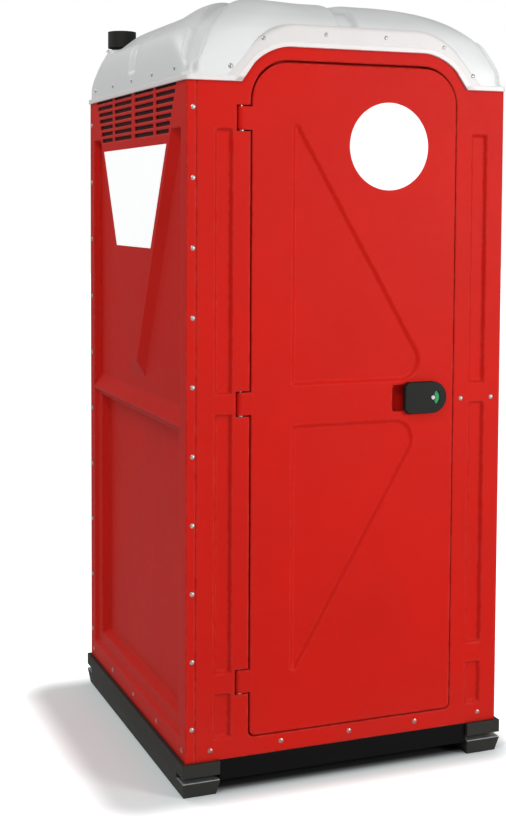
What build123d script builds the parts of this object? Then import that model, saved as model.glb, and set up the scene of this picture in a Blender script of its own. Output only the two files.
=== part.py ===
from build123d import *
import os
from math import cos, hypot, radians, sin, sqrt, tan

# Portable toilet cabin, in millimetres. Every piece is drawn with X to the right, Y to the back and Z up,
# from the front left bottom corner of the red shell, and is moved to the middle of the base when written.

# The shell and its moulded walls.
shell_width = 1045.0
shell_depth = 1075.0
wall_height = 2000.0
sheet = 5.0  # thickness of every moulded wall
sheet_growth = 3.0  # how much further a pressing reaches sideways on the inside of a wall
flat_gap = 0.3  # between flat faces of pieces that slide or swing
lap_gap = 0.5  # between a wall's tongue and its neighbour
seat_fit = 0.02  # radial, where a pin or screw is held fast
running_fit = 0.06  # radial, where a pin turns

# Corner laps: each wall wraps a strip round its right corner, over the next wall's tongue.
strip_width = 30.0
seam = 1.0
tongue_end = 40.0
tongue_foot = 52.0
upstand_height = 55.0
upstand_inset = 45.0
rivet_from_corner = 20.0
rivets_per_corner = 10
rivet_top_margin = 77.0
rivet_foot_margin = 101.0
rivet_radius = 3.0
rivet_head_radius = 7.5
rivet_head = 3.0
rivet_tail_radius = 5.0
rivet_tail = 2.0

# Base: a tray on two runners, with a rim that the walls are screwed to.
base_height = 103.0
base_overhang = 12.0
runner_width = 117.0
runner_block = 39.0
notch_height = 18.0
notch_side_depth = 26.0
notch_side_length = 60.0
notch_end_depth = 28.0
foot_taper = 15.0
deck = 6.0
tray_edge_depth = 62.0
tray_edge_gap = 1.0
tray_rib_depth = 34.0
tray_ribs = 4
rim_height = 50.0
floor_thickness = 8.0
floor_gap = 1.0
tie_plate = 3.0
tie_plate_inset = 1.0
screw_level = 30.0
screws_per_side = 5
front_screw_first = 78.0
front_screw_last = 62.0
side_screw_margin = 35.0
screw_radius = 3.0
screw_head_radius = 8.5
screw_head = 3.0
screw_tail = 4.0

# Side and back walls: a two-step lower pressing, an upper one round a V, and louvre slots above it.
relief_margin = 50.0
lower_foot = 60.0
lower_head = 988.0
first_step = 12.0
first_run = 14.0
ledge = 40.0
second_step = 25.0
second_run = 20.0
steep_run = 8.0
ridge = 7.0
upper_slope_run = 45.0
upper_head = 1868.0
upper_step = 22.0
vee_top_half = 394.0
vee_foot_half = 38.0
vee_foot = 1139.0
vee_run = 50.0
louvre_rows = 7
louvre_first = 1862.0
louvre_pitch = 22.7
louvre_height = 12.5
louvre_post_half = 18.0
louvre_length = 200.0
louvre_post = 25.0
louvre_outer_top = 443.0
louvre_outer_foot = 373.0

# Doorway, door and hinges.
door_left = 203.0
latch_jamb = 168.0  # from the door's right edge to the shell's
door_foot = 60.0
door_rise = 59.0  # how far the door's head stands above the walls' top
door_depth = 34.0
door_head_radius = 112.0
door_foot_radius = 15.0
least_radius = 2.0  # of the foot's corners further in
liner = 5.0
gap_left = 6.0
gap_right = 3.0
gap_head = 8.0
gap_foot = 5.0
stop_gap = 2.0
stop_width = 20.0
hinge_axis_from_door = 31.0
hinge_axis_depth = 12.0
hinge_tab_height = 68.0
hinge_levels = (226.5, 1058.0, 1895.0)
hinge_notch_side = 6.0
hinge_notch_gap = 4.0
hinge_block_wall = 12.0
hinge_pocket_depth = 27.0
hinge_pin_radius = 4.0
hinge_collar_radius = 9.0
thrust_gap = 0.1
channel_width = 55.0
channel_from_doorway = 54.5
channel_depth = 10.0
channel_run = 8.0
foot_channel = (62.0, 198.0)
middle_channel_foot = 257.0
upper_channel_head = 1865.0
channel_below_latch = 21.0
channel_above_latch = 36.0
door_relief_left = 128.0
door_relief_depth = 8.0
door_relief_run = 12.0
upper_relief_right = 67.0  # from the fields' right corners to the door's edge
lower_relief_right = 86.0
band_foot = 988.0
band_height = 116.0
upper_relief_top = 1916.0
lower_relief_foot = 208.0
relief_corner_radius = 65.0
relief_tip_radius = 12.0

# Latch: a spindle through the door turns the vacancy disc and a crank, which throws the bolt.
latch_from_door_edge = 79.0
latch_above_band_foot = 64.0
spindle_radius = 5.0
cover_left = 95.0
cover_radius = 49.0
cover_chamfer = 14.0
cover_proud = 18.0
cover_wall = 4.0
cover_edge = 2.5
spindle_head = 3.0
spindle_head_radius = 6.5
disc_radius = 33.0
disc_thickness = 2.5
window_inner = 10.0
window_outer = 26.0
window_half_angle = 62.0
pocket_left = 132.0
pocket_right = 42.0
pocket_half_height = 41.5
pocket_depth = 24.0
pocket_wall = 4.0
pocket_radius = 12.0
bolt_stroke = 18.0
bolt_front = 12.0
bolt_thickness = 5.7
bolt_half_height = 20.0
bolt_tip_half_height = 10.0
bolt_shoulder_gap = 1.0  # from the thrown bolt's shoulder to the door's edge wall
bolt_tip_setback = 2.0
bolt_tail = 32.0
crank_radius = 19.0
crank_thickness = 4.7
crank_pin_radius = 3.0
crank_slot_gap = 0.6
strike_gap = 2.0
case_plate = 3.0
case_flange = 6.0
case_tail = 36.0
case_front_setback = 4.0
case_post = 8.0
latch_screw_radius = 2.0
latch_screw_head_radius = 4.0
latch_screw_head = 2.5
latch_screw_rise = 36.0
latch_screw_offsets = (-33.0, 17.0)
screw_boss_radius = 5.0
screw_boss_depth = 12.0
backplate = 4.0
knob_radius = 22.0
knob_thickness = 8.0
knob_grip = 16.0
knob_grip_width = 9.0
knob_grip_setback = 2.0
strike_thickness = 3.0
strike_leg = 25.0
strike_from_side = 16.0
strike_half_height = 20.0
strike_lift = 5.0
strike_rivet_radius = 2.5
strike_rivet_from_side = 30.0
strike_rivet_from_doorway = 27.0

# Labels, door furniture and the things inside.
label_thickness = 0.8
round_label_radius = 132.0
round_label_from_door_edge = 229.0
round_label_level = 1821.0
side_label_top = 1824.0
side_label_foot = 1507.0
side_label_top_half = 349.0
side_label_foot_half = 189.0
pull_from_door = 470.0
pull_level = 1050.0
pull_span = 180.0
pull_radius = 8.0
pull_post_radius = 6.5
pull_reach = 34.0
pull_plate_radius = 18.0
pull_plate = 4.0
hook_from_door = 337.0
hook_level = 1680.0
hook_half_width = 14.0
hook_half_height = 35.0
hook_plate = 4.0
hook_reach = 40.0
hook_radius = 5.0
hook_tip_radius = 5.5
hook_drop = 15.0
hook_rise = 12.0
hook_foot = 2.0
hook_knob_radius = 7.0
tank_front = 535.0
tank_height = 420.0
tank_wall = 6.0
tank_gap = 1.0
tank_top = 8.0
tank_lip = 12.0
bowl_half_width = 105.0
bowl_half_depth = 135.0
seat_centre = 735.0
seat_half_width = 180.0
seat_half_depth = 195.0
seat_thickness = 16.0
lid_thickness = 8.0
lid_lean = 8.0
hinge_from_seat = 215.0
seat_pin_radius = 5.0
seat_knuckle_radius = 11.0
seat_ear_width = 22.0
seat_ear_spread = 90.0
seat_lug_width = 16.0
seat_bumper = 4.0
seat_bumper_radius = 8.0
seat_ear_root = 40.0
urinal_centre = 390.0
urinal_foot = 620.0
urinal_rim = 860.0
urinal_back_top = 950.0
urinal_reach = 160.0
urinal_foot_reach = 70.0
urinal_half_width = 110.0
urinal_foot_half_width = 55.0
urinal_wall = 5.0
drain_radius = 16.0
drain_bore = 13.0
drain_from_wall = 33.0
drain_bend = 60.0
drain_level = 300.0
clip_width = 20.0
clip_wall = 3.0
clip_level = 470.0
clip_pitch = 80.0
roll_level = 700.0
roll_centre = 475.0
roll_width = 110.0
roll_radius = 55.0
roll_spindle_radius = 19.0
roll_arm = 6.0
roll_arm_half_height = 26.0
roll_from_wall = 68.0
roll_side_gap = 2.0

# Vent pipe and its cap, rising from the tank through the roof near the back left corner.
pipe_x = 83.0
pipe_from_back = 120.0
pipe_radius = 35.0
pipe_wall = 3.5
pipe_hole_gap = 1.0
pipe_rise = 238.0
cap_radius = 49.0
cap_wall = 4.0
cap_height = 56.0
cap_crown = 5.0
roof_pad_radius = 54.0
roof_pad_rise = 190.0

# Roof: a thin moulding with a skirt outside the walls, an arched fascia and a lobed dome.
skirt_outset = 5.5
roof_wall = 5.0
roof_sections = (
    # rise, inset from the side walls, inset from the front and back, corner radius
    (0.0, -5.5, -5.5, 15.0), (58.0, -5.5, -5.5, 44.0), (112.0, 1.0, 0.0, 105.0), (156.0, 22.0, 17.0, 145.0),
    (200.0, 70.0, 47.0, 200.0), (240.0, 134.0, 90.0, 215.0), (260.0, 205.0, 155.0, 215.0),
)
dome_rise = 275.0
dome_radius = 4200.0
lip_height = 15.0
lip_proud = 2.5
lip_inner_radius = 6.0
arch_foot = 160.0
arch_shoulder = 249.0
arch_rise = 106.0
arch_radius = 150.0
fascia_foot = 95.0
fascia_shoulder = 260.0
fascia_rise = 174.0
fascia_radius = 190.0
fascia_length = 110.0
frame_arch_gap = 6.0
side_valley_radius = 57.0
side_valley_edge = (110.0, 217.0)
front_valley_edge = (110.0, 238.0)
side_valley_middle = (400.0, 274.0)
corner_valley_radius = 120.0
corner_valley_edge = (100.0, 165.0)
corner_valley_middle = (400.0, 285.0)
valley_overrun = 160.0
roof_screw_level = 40.0
roof_screw_margin = 95.0
front_roof_screws = ((399.0, 43.0), (297.0, 126.0), (99.0, 146.0))  # from the middle, above the walls
front_roof_screw_centre = 531.0

# Sizes that follow from those above.
door_right = shell_width - latch_jamb
door_head = wall_height + door_rise
door_middle = (door_left + door_right) / 2
doorway_left = door_left - gap_left
doorway_right = door_right + gap_right
doorway_foot = door_foot - gap_foot
doorway_head = door_head + gap_head
doorway_head_radius = door_head_radius + gap_head
doorway_foot_radius = door_foot_radius + gap_foot
door_skin_back = door_depth - liner
stop_front = door_depth + stop_gap
stop_back = stop_front + sheet
hinge_x = door_left - hinge_axis_from_door
latch_x = door_right - latch_from_door_edge
latch_level = band_foot + latch_above_band_foot
band_head = band_foot + band_height
channel_spans = (foot_channel, (middle_channel_foot, latch_level - channel_below_latch),
                 (latch_level + channel_above_latch, upper_channel_head))
relief_depth = first_step + second_step
inner_face = relief_depth + sheet
right_inner = shell_width - inner_face
tank_left = inner_face + tank_gap
tank_right = shell_width - inner_face - tank_gap
tank_back = shell_depth - inner_face - tank_gap
tank_foot = floor_thickness
tank_rim = tank_height
seat_level = tank_rim + tank_top
pipe_y = shell_depth - pipe_from_back
latch_pin_offset = bolt_stroke / 2
latch_pin_throw = latch_pin_offset * sqrt(2)
front_proud = cover_proud + spindle_head
footprint_front = -max(front_proud, base_overhang)
footprint_back = shell_depth + base_overhang
origin = (shell_width / 2, (footprint_front + footprint_back) / 2, -base_height)


def block(x0, x1, y0, y1, z0, z1):
    """A box between two values on each axis."""
    return Pos((x0 + x1) / 2, (y0 + y1) / 2, (z0 + z1) / 2) * Box(x1 - x0, y1 - y0, z1 - z0)


def rod_x(y, z, radius, x0, x1):
    """A cylinder along X."""
    return Pos((x0 + x1) / 2, y, z) * Rot(0, 90, 0) * Cylinder(radius, x1 - x0)


def rod_y(x, z, radius, y0, y1):
    """A cylinder along Y."""
    return Pos(x, (y0 + y1) / 2, z) * Rot(90, 0, 0) * Cylinder(radius, y1 - y0)


def rod_z(x, y, radius, z0, z1):
    """A cylinder along Z."""
    return Pos(x, y, (z0 + z1) / 2) * Cylinder(radius, z1 - z0)


def slab(outline, y0, y1):
    """A flat piece with a closed outline in x and z, between two distances back from the front."""
    return extrude(Plane.XZ.offset(-y0) * make_face(outline), amount=y0 - y1)


def frustum(outer, inner, y0, y1):
    """A block that tapers from one closed outline in x and z to another further back."""
    faces = [Plane.XZ.offset(-y) * make_face(outline) for outline, y in ((outer, y0), (inner, y1))]
    return loft(faces, ruled=True)


def corners(x0, x1, z0, z1):
    """The four corners of a rectangle in x and z."""
    return [(x0, z0), (x1, z0), (x1, z1), (x0, z1)]


def closed(points, radius=0.0):
    """A closed outline through the points, with one radius or a list of them on its corners."""
    if radius == 0.0:
        return Polyline(*points, close=True)
    return FilletPolyline(*points, radius=radius, close=True)


def moved_in(points, distance):
    """The corners of a counter-clockwise convex outline after each side has moved in by the distance."""
    result = []
    count = len(points)
    for i in range(count):
        before, here, after = (Vector(*points[(i + step) % count]) for step in (-1, 0, 1))
        first = (here - before).normalized()
        second = (after - here).normalized()
        first_normal = Vector(-first.Y, first.X)
        second_normal = Vector(-second.Y, second.X)
        share = distance / (1 + first_normal.dot(second_normal))
        moved = here + (first_normal + second_normal) * share
        result.append((moved.X, moved.Y))
    return result


def spread(first, last, count):
    """Evenly spaced values from the first to the last."""
    return [first + (last - first) * i / (count - 1) for i in range(count)]


def fastener(x, z, face, shank, radius, head, head_radius, tail, tail_radius):
    """A domed head on the outer face, a shank through the walls and a tail behind them."""
    dome_radius = (head_radius**2 + head**2) / (2 * head)
    ball = Pos(x, face - head + dome_radius, z) * Sphere(dome_radius)
    dome = ball & rod_y(x, z, head_radius + 1, face - head - 1, face)
    back = face + shank
    return dome + rod_y(x, z, radius, face, back) + rod_y(x, z, tail_radius, back, back + tail)


# Where a piece drawn in a wall's own frame goes: x from the wall's left corner seen from outside, y inwards.
front_side = Pos(0, 0, 0)
right_side = Pos(shell_width, 0, 0) * Rot(0, 0, 90)
back_side = Pos(shell_width, shell_depth, 0) * Rot(0, 0, 180)
left_side = Pos(0, shell_depth, 0) * Rot(0, 0, -90)
sides = ((front_side, shell_width), (right_side, shell_depth), (back_side, shell_width),
         (left_side, shell_depth))

rivet_levels = spread(rivet_foot_margin, wall_height - rivet_top_margin, rivets_per_corner)
front_screws = spread(front_screw_first, shell_width - front_screw_last, screws_per_side)


def side_screws(length):
    """Where the base screws stand along a side or back wall."""
    return spread(side_screw_margin, length - side_screw_margin, screws_per_side)


def roof_side_screws(length):
    """Where the roof screws stand along a side or back wall."""
    return spread(roof_screw_margin, length - roof_screw_margin, screws_per_side)


def panel(length):
    """A plain wall with its wrapped strip, its tongue and the upstand that the roof is screwed to."""
    face = block(strip_width + seam, length, 0, sheet, 0, wall_height)
    strip = block(length - sheet, length, 0, strip_width, 0, wall_height)
    tongue = block(sheet + lap_gap, tongue_end, sheet, 2 * sheet, tongue_foot, wall_height)
    upstand = block(upstand_inset, length - upstand_inset, 0, sheet, wall_height - sheet,
                    wall_height + upstand_height)
    return face + strip + tongue + upstand


def corner_rivet_holes(length):
    """Holes for the rivets through the tongue on the left and the wrapped strip on the right."""
    radius = rivet_radius + seat_fit
    through_tongue = [rod_y(rivet_from_corner, z, radius, 0, 3 * sheet) for z in rivet_levels]
    through_strip = [rod_x(rivet_from_corner, z, radius, length - 2 * sheet, length + sheet)
                     for z in rivet_levels]
    return through_tongue + through_strip


def wall_relief(length, growth):
    """What is pressed out of a wall's face: the stepped lower field and the upper one round its V."""
    left = relief_margin - growth
    right = length - relief_margin + growth
    foot = lower_foot - growth
    head = lower_head + growth
    first = frustum(closed(corners(left, right, foot, head)),
                    closed(corners(left + first_run, right - first_run, foot + first_run, head - steep_run)),
                    0, first_step)
    step_in = first_run + ledge
    left_2, right_2 = left + step_in, right - step_in
    foot_2, head_2 = foot + ledge + steep_run, head - 2 * steep_run
    second = frustum(closed(corners(left_2, right_2, foot_2, head_2)),
                     closed(corners(left_2 + second_run, right_2 - second_run, foot_2 + second_run,
                                    head_2 - steep_run)),
                     first_step, relief_depth)
    upper_foot = lower_head + ridge - growth
    upper_top = upper_head + growth
    upper = frustum(closed(corners(left, right, upper_foot, upper_top)),
                    closed(corners(left + steep_run, right - steep_run, upper_foot + upper_slope_run,
                                   upper_top - steep_run)),
                    0, upper_step)
    middle = length / 2
    vee = [(middle - vee_foot_half + growth, vee_foot), (middle + vee_foot_half - growth, vee_foot),
           (middle + vee_top_half - growth, upper_top + 1), (middle - vee_top_half + growth, upper_top + 1)]
    vee_deep = [(middle - vee_foot_half + growth - vee_run / 2, vee_foot - vee_run),
                (middle + vee_foot_half - growth + vee_run / 2, vee_foot - vee_run),
                (middle + vee_top_half - growth + vee_run, upper_top + 1),
                (middle - vee_top_half + growth - vee_run, upper_top + 1)]
    return first + second + (upper - frustum(closed(vee), closed(vee_deep), 0, upper_step))


def louvres(length):
    """The ventilation slots, in four columns whose outer ends follow the V."""
    slots = []
    middle = length / 2
    for row in range(louvre_rows):
        foot = louvre_first + louvre_pitch * row - louvre_height / 2
        head = foot + louvre_height
        rise = row / (louvre_rows - 1)
        outer = louvre_outer_foot + (louvre_outer_top - louvre_outer_foot) * rise
        inner_end = louvre_post_half + louvre_length
        for side in (-1, 1):
            slots.append((middle + side * louvre_post_half, middle + side * inner_end, foot, head))
            slots.append((middle + side * (inner_end + louvre_post), middle + side * outer, foot, head))
    return [block(min(a, b), max(a, b), -1, sheet + 1, foot, head) for a, b, foot, head in slots]


def pressed_wall(length, screws):
    """A side or back wall: pressed fields, louvres and the holes for its fasteners."""
    wall = panel(length) + Pos(0, sheet, 0) * wall_relief(length, sheet_growth)
    wall -= wall_relief(length, 0)
    holes = louvres(length) + corner_rivet_holes(length)
    holes += [rod_y(x, screw_level, screw_radius + seat_fit, -1, sheet + 1) for x in screws]
    roof_level = wall_height + roof_screw_level
    holes += [rod_y(x, roof_level, screw_radius + seat_fit, -1, sheet + 1) for x in roof_side_screws(length)]
    return wall - holes


def arch(foot, shoulder, rise, radius, inset=0.0):
    """A closed outline of a trapezoid with rounded shoulders, about the door's middle."""
    half_foot = door_middle - foot
    half_top = door_middle - shoulder
    top = wall_height + rise
    points = [(door_middle - half_foot, wall_height), (door_middle + half_foot, wall_height),
              (door_middle + half_top, top), (door_middle - half_top, top)]
    slope = hypot(half_foot - half_top, rise) / rise
    middle_in = [(door_middle - half_foot + inset * slope, wall_height),
                 (door_middle + half_foot - inset * slope, wall_height)]
    top_in = moved_in(points, inset)[2:]
    return closed(middle_in + top_in, [0, 0, radius - inset, radius - inset])


def doorway(growth):
    """The doorway's closed outline, grown or shrunk all round."""
    points = corners(doorway_left - growth, doorway_right + growth,
                     doorway_foot - growth, doorway_head + growth)
    foot = max(doorway_foot_radius + growth, least_radius)
    head = doorway_head_radius + growth
    return closed(points, [foot, foot, head, head])


def door_outline(inset):
    """The door's closed outline, shrunk all round."""
    points = corners(door_left + inset, door_right - inset, door_foot + inset, door_head - inset)
    foot = max(door_foot_radius - inset, least_radius)
    head = door_head_radius - inset
    return closed(points, [foot, foot, head, head])


def make_front_frame():
    """The front wall round the doorway, with its channels and hinge housings."""
    frame = panel(shell_width)
    frame += slab(arch(fascia_foot, fascia_shoulder, fascia_rise, fascia_radius, frame_arch_gap), 0, sheet)
    channel_lefts = (doorway_left - channel_from_doorway - channel_width, doorway_right + channel_from_doorway)
    cuts = []
    for left in channel_lefts:
        for foot, head in channel_spans:
            mouth = corners(left, left + channel_width, foot, head)
            frame += frustum(closed(moved_in(mouth, -sheet_growth)),
                             closed(moved_in(mouth, channel_run - sheet_growth)), sheet, channel_depth + sheet)
            cuts.append(frustum(closed(mouth), closed(moved_in(mouth, channel_run)), 0, channel_depth))
    notch_left = hinge_x - hinge_axis_depth - hinge_notch_side
    for level in hinge_levels:
        half = hinge_tab_height / 2 + hinge_notch_gap
        frame += block(notch_left - sheet, doorway_left - sheet, sheet, hinge_pocket_depth + sheet,
                       level - half - hinge_block_wall, level + half + hinge_block_wall)
        cuts.append(block(notch_left, doorway_left + 1, -1, hinge_pocket_depth, level - half, level + half))
        cuts.append(rod_z(hinge_x, hinge_axis_depth, hinge_pin_radius + seat_fit,
                          level - half - hinge_block_wall - 1, level + half + hinge_block_wall + 1))
    cuts.append(slab(doorway(0), -1, stop_back))
    cuts += corner_rivet_holes(shell_width)
    cuts += [rod_y(x, screw_level, screw_radius + seat_fit, -1, sheet + 1) for x in front_screws]
    cuts += [rod_y(x, z, screw_radius + seat_fit, -1, sheet + 1) for x, z in roof_front_screw_places()]
    cuts += [rod_y(x, z, strike_rivet_radius + seat_fit, -1, sheet + 1) for x, z in strike_rivet_places()]
    return frame - cuts


def make_door_stops():
    """Strips behind the frame: the doorway's reveals, and the stops that the door closes on."""
    reveal = slab(doorway(sheet), sheet, stop_front - lap_gap) - slab(doorway(0), 0, stop_front)
    for level in hinge_levels:
        half = hinge_tab_height / 2 + hinge_notch_gap
        reveal -= block(doorway_left - sheet - 1, doorway_left + 1, 0, hinge_pocket_depth,
                        level - half, level + half)
    stop = slab(doorway(sheet), stop_front, stop_back)
    stop -= slab(doorway(-stop_width), stop_front - 1, stop_back + 1)
    left = doorway_left - sheet
    right = doorway_right + sheet
    post_foot = doorway_foot + doorway_foot_radius
    post_head = doorway_head - doorway_head_radius
    bolt_rise = bolt_tip_half_height + strike_gap
    shared = ((left, door_middle, post_foot, post_head),
              (left, right, post_head + lap_gap, doorway_head + sheet),
              (left, right, doorway_foot - sheet, post_foot - lap_gap))
    latch_reveals = ((door_middle, right, post_foot, latch_level - bolt_rise),
                     (door_middle, right, latch_level + bolt_rise, post_head))
    latch_stop = (door_middle, right, post_foot, post_head)
    lengths = [reveal & block(x0, x1, 0, stop_back, z0, z1) for x0, x1, z0, z1 in (*shared, *latch_reveals)]
    return lengths + [stop & block(x0, x1, 0, stop_back, z0, z1) for x0, x1, z0, z1 in (*shared, latch_stop)]


def roof_front_screw_places():
    """The roof screws along the fascia's band, mirrored about their middle."""
    places = []
    for offset, rise in front_roof_screws:
        for side in (-1, 1):
            places.append((front_roof_screw_centre + side * offset, wall_height + rise))
    return places


def strike_rivet_places():
    """The two rivets that hold the strike plate."""
    first = doorway_right + strike_rivet_from_doorway
    level = latch_level - bolt_tip_half_height
    return [(first, level), (shell_width - strike_rivet_from_side, level)]


def door_reliefs():
    """The two pressed fields of the door, as the corners of their outlines and the radii there."""
    left = door_left + door_relief_left
    upper = [(left, band_head), (door_right - upper_relief_right, band_head), (left, upper_relief_top)]
    lower = [(left, lower_relief_foot), (door_right - lower_relief_right, band_foot), (left, band_foot)]
    tip = relief_tip_radius
    return ((upper, [tip, relief_corner_radius, tip]), (lower, [tip, relief_corner_radius, tip]))


def field_radii(radii, change):
    """Corner radii after an outline has moved in or out."""
    return [max(radius - change, least_radius / 2) for radius in radii]


def make_door_panel():
    """The door's outer shell, with its pressed fields, hinge tabs, finger pocket and bolt slot."""
    door = slab(door_outline(0), 0, door_skin_back) - slab(door_outline(sheet), sheet, door_skin_back + 1)
    cuts = []
    for points, radii in door_reliefs():
        grown = moved_in(points, -sheet_growth)
        deep = moved_in(points, door_relief_run)
        deep_grown = moved_in(points, door_relief_run - sheet_growth)
        door += frustum(closed(grown, field_radii(radii, -sheet_growth)),
                        closed(deep_grown, field_radii(radii, door_relief_run - sheet_growth)),
                        sheet, door_relief_depth + sheet)
        cuts.append(frustum(closed(points, field_radii(radii, 0)),
                            closed(deep, field_radii(radii, door_relief_run)), 0, door_relief_depth))
    for level in hinge_levels:
        foot = level - hinge_tab_height / 2
        head = level + hinge_tab_height / 2
        door += block(hinge_x, door_left + sheet, 0, 2 * hinge_axis_depth, foot, head)
        door += rod_z(hinge_x, hinge_axis_depth, hinge_axis_depth, foot, head)
        cuts.append(rod_z(hinge_x, hinge_axis_depth, hinge_pin_radius + running_fit, foot - 1, head + 1))
    pocket = corners(latch_x - pocket_left, latch_x - pocket_right, latch_level - pocket_half_height,
                     latch_level + pocket_half_height)
    pocket_skin = closed(moved_in(pocket, -pocket_wall), pocket_radius + pocket_wall)
    door += slab(pocket_skin, 0, pocket_depth + pocket_wall)
    cuts.append(slab(closed(pocket, pocket_radius), -1, pocket_depth))
    cuts.append(rod_y(latch_x, latch_level, spindle_radius + flat_gap, -1, sheet + 1))
    cuts.append(block(door_right - sheet - 1, door_right + 1, bolt_front - flat_gap,
                      bolt_front + bolt_thickness + flat_gap, latch_level - bolt_tip_half_height - flat_gap,
                      latch_level + bolt_tip_half_height + flat_gap))
    cuts += [rod_y(x, z, latch_screw_radius + seat_fit, -1, sheet + 1) for x, z in latch_screw_places()]
    return door - cuts


def latch_screw_places():
    """The four screws that clamp the latch cover and the inner plate to the door."""
    return [(latch_x + offset, latch_level + rise)
            for offset in latch_screw_offsets for rise in (-latch_screw_rise, latch_screw_rise)]


def make_door_liner():
    """The door's flat inner sheet."""
    liner_sheet = slab(door_outline(0), door_skin_back, door_depth)
    holes = [rod_y(x, z, latch_screw_radius + seat_fit, 0, door_depth + 1) for x, z in latch_screw_places()]
    holes.append(rod_y(latch_x, latch_level, spindle_radius + flat_gap, 0, door_depth + 1))
    return liner_sheet - holes


def cover_outline(inset):
    """The latch cover: a chamfered left end and a round right end about the spindle."""
    left = latch_x - cover_left + inset
    half = cover_radius - inset
    chamfer = cover_chamfer - inset * (2 - sqrt(2))
    points = [(left + chamfer, latch_level - half), (latch_x, latch_level - half)]
    end = (latch_x + half, latch_level)
    rest = [(left + chamfer, latch_level + half), (left, latch_level + half - chamfer),
            (left, latch_level - half + chamfer)]
    top = (latch_x, latch_level + half)
    line = Polyline(top, rest[0], rest[1], rest[2], points[0], points[1])
    return line + ThreePointArc(points[1], end, top)


def make_latch_cover():
    """The black moulded latch cover, hollow behind, with its crescent window."""
    cover = slab(cover_outline(0), -cover_proud, 0)
    cover = chamfer(cover.faces().sort_by(Axis.Y)[0].edges(), cover_edge)
    cover -= slab(cover_outline(cover_wall), -cover_proud + cover_wall, 1)
    for x, z in latch_screw_places():
        cover += rod_y(x, z, screw_boss_radius, -cover_proud + cover_wall, 0)
        cover -= rod_y(x, z, latch_screw_radius + seat_fit, -screw_boss_depth, 1)
    cover -= rod_y(latch_x, latch_level, spindle_radius + flat_gap, -cover_proud - 1, 0)
    ring = rod_y(latch_x, latch_level, window_outer, -cover_proud - 1, -cover_proud + cover_wall + 1)
    ring -= rod_y(latch_x, latch_level, window_inner, -cover_proud - 2, -cover_proud + cover_wall + 2)
    reach = 2 * window_outer
    rise = reach * tan(radians(window_half_angle))
    wedge = closed([(latch_x, latch_level), (latch_x + reach, latch_level - rise),
                    (latch_x + reach, latch_level + rise)])
    return cover - (ring & slab(wedge, -cover_proud - 2, 0))


def make_latch_backplate():
    """The plate behind the door that the inner knob turns on."""
    plate = slab(cover_outline(cover_wall / 2), door_depth, door_depth + backplate)
    back = door_depth + backplate
    holes = [rod_y(x, z, latch_screw_radius + seat_fit, 0, back + 1) for x, z in latch_screw_places()]
    holes.append(rod_y(latch_x, latch_level, spindle_radius + flat_gap, 0, back + 1))
    return plate - holes


def make_latch_screws():
    """Four screws from the inner plate to the bosses in the cover."""
    back = door_depth + backplate
    return [rod_y(x, z, latch_screw_radius, -screw_boss_depth + 1, back)
            + rod_y(x, z, latch_screw_head_radius, back, back + latch_screw_head)
            for x, z in latch_screw_places()]


def make_latch_case():
    """The channel inside the door that the bolt slides in, on posts from the liner."""
    plate_front = bolt_front + bolt_thickness + flat_gap
    left = latch_x - case_tail
    right = door_right - sheet - case_front_setback
    half = bolt_half_height + flat_gap
    case = block(left, right, plate_front, plate_front + case_plate, latch_level - half - case_flange,
                 latch_level + half + case_flange)
    for side in (-1, 1):
        inner = latch_level + side * half
        outer = inner + side * case_flange
        case += block(left, right, bolt_front, plate_front, min(inner, outer), max(inner, outer))
        for x in (left, right - case_post):
            post = outer - side * case_post
            case += block(x, x + case_post, plate_front, door_skin_back, min(outer, post), max(outer, post))
    return case - rod_y(latch_x, latch_level, spindle_radius + flat_gap, 0, door_skin_back)


def make_latch_bolt():
    """The sliding bolt, with a window for the spindle and a slot for the crank's pin."""
    back = bolt_front + bolt_thickness
    tip = door_right - bolt_tip_setback
    shoulder = door_right - sheet - bolt_stroke - bolt_shoulder_gap
    bolt = block(latch_x - bolt_tail, shoulder, bolt_front, back, latch_level - bolt_half_height,
                 latch_level + bolt_half_height)
    bolt += block(shoulder, tip, bolt_front, back, latch_level - bolt_tip_half_height,
                  latch_level + bolt_tip_half_height)
    spindle_room = spindle_radius + crank_slot_gap
    bolt -= block(latch_x - bolt_stroke - spindle_room, latch_x + spindle_room, 0, back + 1,
                  latch_level - spindle_room, latch_level + spindle_room)
    pin_room = crank_pin_radius + crank_slot_gap
    pin_x = latch_x - latch_pin_offset
    bolt -= block(pin_x - pin_room, pin_x + pin_room, 0, back + 1, latch_level + latch_pin_offset - pin_room,
                  latch_level + latch_pin_throw + pin_room)
    return bolt


def make_latch_spindle():
    """The spindle right through the door, with a slotted head outside."""
    end = door_depth + backplate + flat_gap + knob_thickness
    neck = -cover_proud - flat_gap
    tip = -cover_proud - spindle_head
    spindle = rod_y(latch_x, latch_level, spindle_radius, neck, end)
    head = rod_y(latch_x, latch_level, spindle_head_radius, tip, neck)
    slot = block(latch_x - spindle_head_radius, latch_x + spindle_head_radius,
                 tip - 1, tip + spindle_head / 2, latch_level - 1, latch_level + 1)
    return spindle + head - slot


def make_indicator_disc():
    """The disc behind the window, green on one side and red on the other."""
    front = -cover_proud + cover_wall + flat_gap
    back = front + disc_thickness
    disc = rod_y(latch_x, latch_level, disc_radius, front, back)
    return disc - rod_y(latch_x, latch_level, spindle_radius + seat_fit, front - 1, back + 1)


def make_latch_crank():
    """The crank on the spindle, with the pin that moves the bolt."""
    back = bolt_front - flat_gap
    crank = rod_y(latch_x, latch_level, crank_radius, back - crank_thickness, back)
    crank -= rod_y(latch_x, latch_level, spindle_radius + seat_fit, 0, back + 1)
    pin_end = bolt_front + bolt_thickness - flat_gap
    return crank + rod_y(latch_x - latch_pin_offset, latch_level + latch_pin_offset, crank_pin_radius, back,
                         pin_end)


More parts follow.
